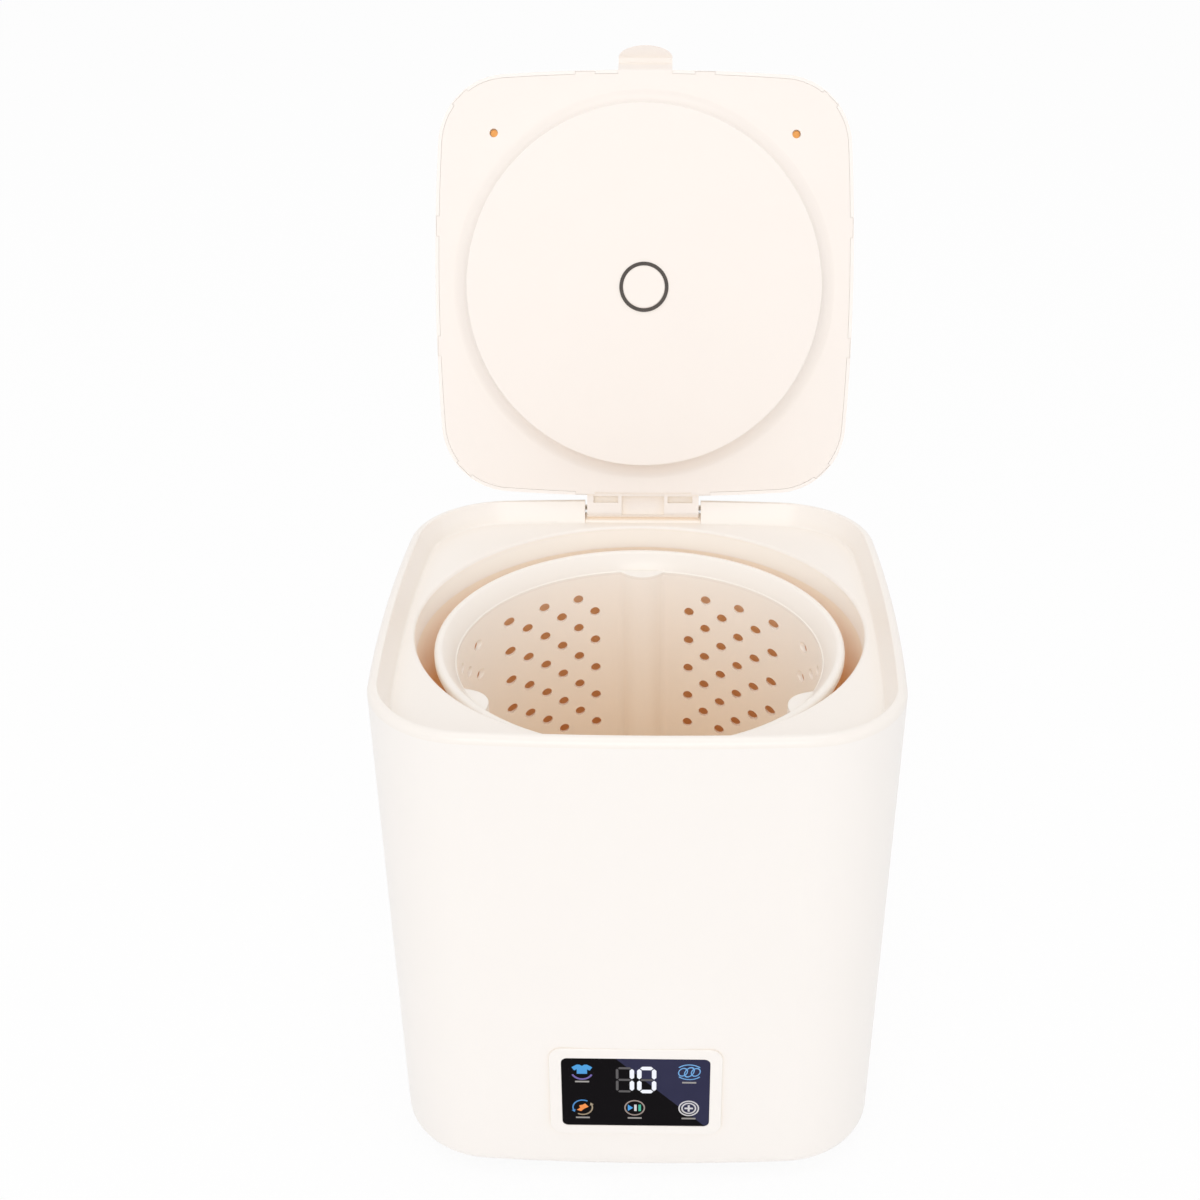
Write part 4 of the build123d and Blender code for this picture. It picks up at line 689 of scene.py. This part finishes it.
board_green = Finish("board_green", (0.03, 0.16, 0.07), 0.35, coat_weight=0.3)
tracks = board_green.node("ShaderNodeTexBrick", {}, {
    "Vector": board_green.place(), "Scale": 60.0, "Mortar Size": 0.03,
    "Mortar": (0.06, 0.30, 0.14, 1), "Color1": (0.02, 0.13, 0.055, 1),
    "Color2": (0.03, 0.18, 0.08, 1),
})
board_green.set("Base Color", tracks)
board_green.cover("display_board", "digit_module", "power_board")

# Valve coil: copper wire under a taped winding.
coil_copper = Finish("coil_copper", (0.55, 0.22, 0.08), 0.4, metallic=0.5)
coil_turns = coil_copper.node(
    "ShaderNodeTexWave", {"bands_direction": "Y"}, {"Vector": coil_copper.place(), "Scale": 400.0},
)
coil_copper.bump(coil_turns, 0.0003)
coil_shade = coil_copper.noise(0.003)
coil_copper.set("Base Color", coil_copper.mix(coil_shade, (0.45, 0.17, 0.06), (0.62, 0.27, 0.10)))
coil_copper.cover("valve_coil")

# Contacts of the power inlet: bright brass pins.
pin_brass = Finish("pin_brass", (0.78, 0.58, 0.27), 0.25, metallic=1.0)
pin_brass.set("Roughness", pin_brass.noise(0.001) * 0.12 + 0.14)
pin_brass.cover("inlet_contacts")

# Studio: white paper floor and an even white room, a broad soft lamp above the camera and one
# overhead. What the camera sees of the room, straight or in a reflection, is pure white.
floor_half_side = 6.5
glow_share = 0.92
paper = Finish("floor_paper", (0.97, 0.97, 0.97), 0.9)
glow = paper.node("ShaderNodeEmission", {}, {"Color": (1, 1, 1, 1), "Strength": 1.0})
sight = ("Is Camera Ray", "Is Glossy Ray", "Is Transmission Ray")
seen = sum(paper.node("ShaderNodeLightPath", {}, {}, kind) for kind in sight).clamped()
plain = Field(paper, paper.shader.outputs[0])
surface = paper.node("ShaderNodeMixShader", {}, {0: seen * glow_share, 1: plain, 2: glow})
paper.feed(paper.tree.nodes["Material Output"].inputs["Surface"], surface)
paper_mesh = bmesh.new()
bmesh.ops.create_grid(paper_mesh, x_segments=1, y_segments=1, size=floor_half_side)
floor = solid("floor", paper_mesh, paper)

room_light = 0.74
world = bpy.data.worlds.new("studio")
bpy.context.scene.world = world
world.use_nodes = True
room_nodes = world.node_tree.nodes
room_links = world.node_tree.links
room = room_nodes["Background"]
ray = room_nodes.new("ShaderNodeLightPath")
either = room_nodes.new("ShaderNodeMath")
direct = room_nodes.new("ShaderNodeMath")
level = room_nodes.new("ShaderNodeMapRange")
level.inputs["To Min"].default_value = room_light
room_links.new(ray.outputs["Is Glossy Ray"], either.inputs[0])
room_links.new(ray.outputs["Is Transmission Ray"], either.inputs[1])
room_links.new(either.outputs[0], direct.inputs[0])
room_links.new(ray.outputs["Is Camera Ray"], direct.inputs[1])
room_links.new(direct.outputs[0], level.inputs["Value"])
room_links.new(level.outputs["Result"], room.inputs["Strength"])
room.inputs["Color"].default_value = (1.0, 1.0, 1.0, 1.0)

lamps = {
    "front_lamp": (Vector((-0.3, -4.2, 2.2)), 2.6, 42.0),
    "top_lamp": (Vector((0.0, -0.1, 3.6)), 2.2, 17.0),
}
lamp_target = Vector((0.0, 0.0, 0.3))
for name, (lamp_place, lamp_size, lamp_power) in lamps.items():
    lamp_data = bpy.data.lights.new(name, "AREA")
    lamp_data.size = lamp_size
    lamp_data.energy = lamp_power
    lamp = bpy.data.objects.new(name, lamp_data)
    bpy.context.scene.collection.objects.link(lamp)
    lamp_aim = (lamp_target - lamp_place).to_track_quat("-Z", "Y")
    lamp.matrix_world = Matrix.Translation(lamp_place) @ lamp_aim.to_matrix().to_4x4()

bpy.context.scene.view_settings.view_transform = "Standard"
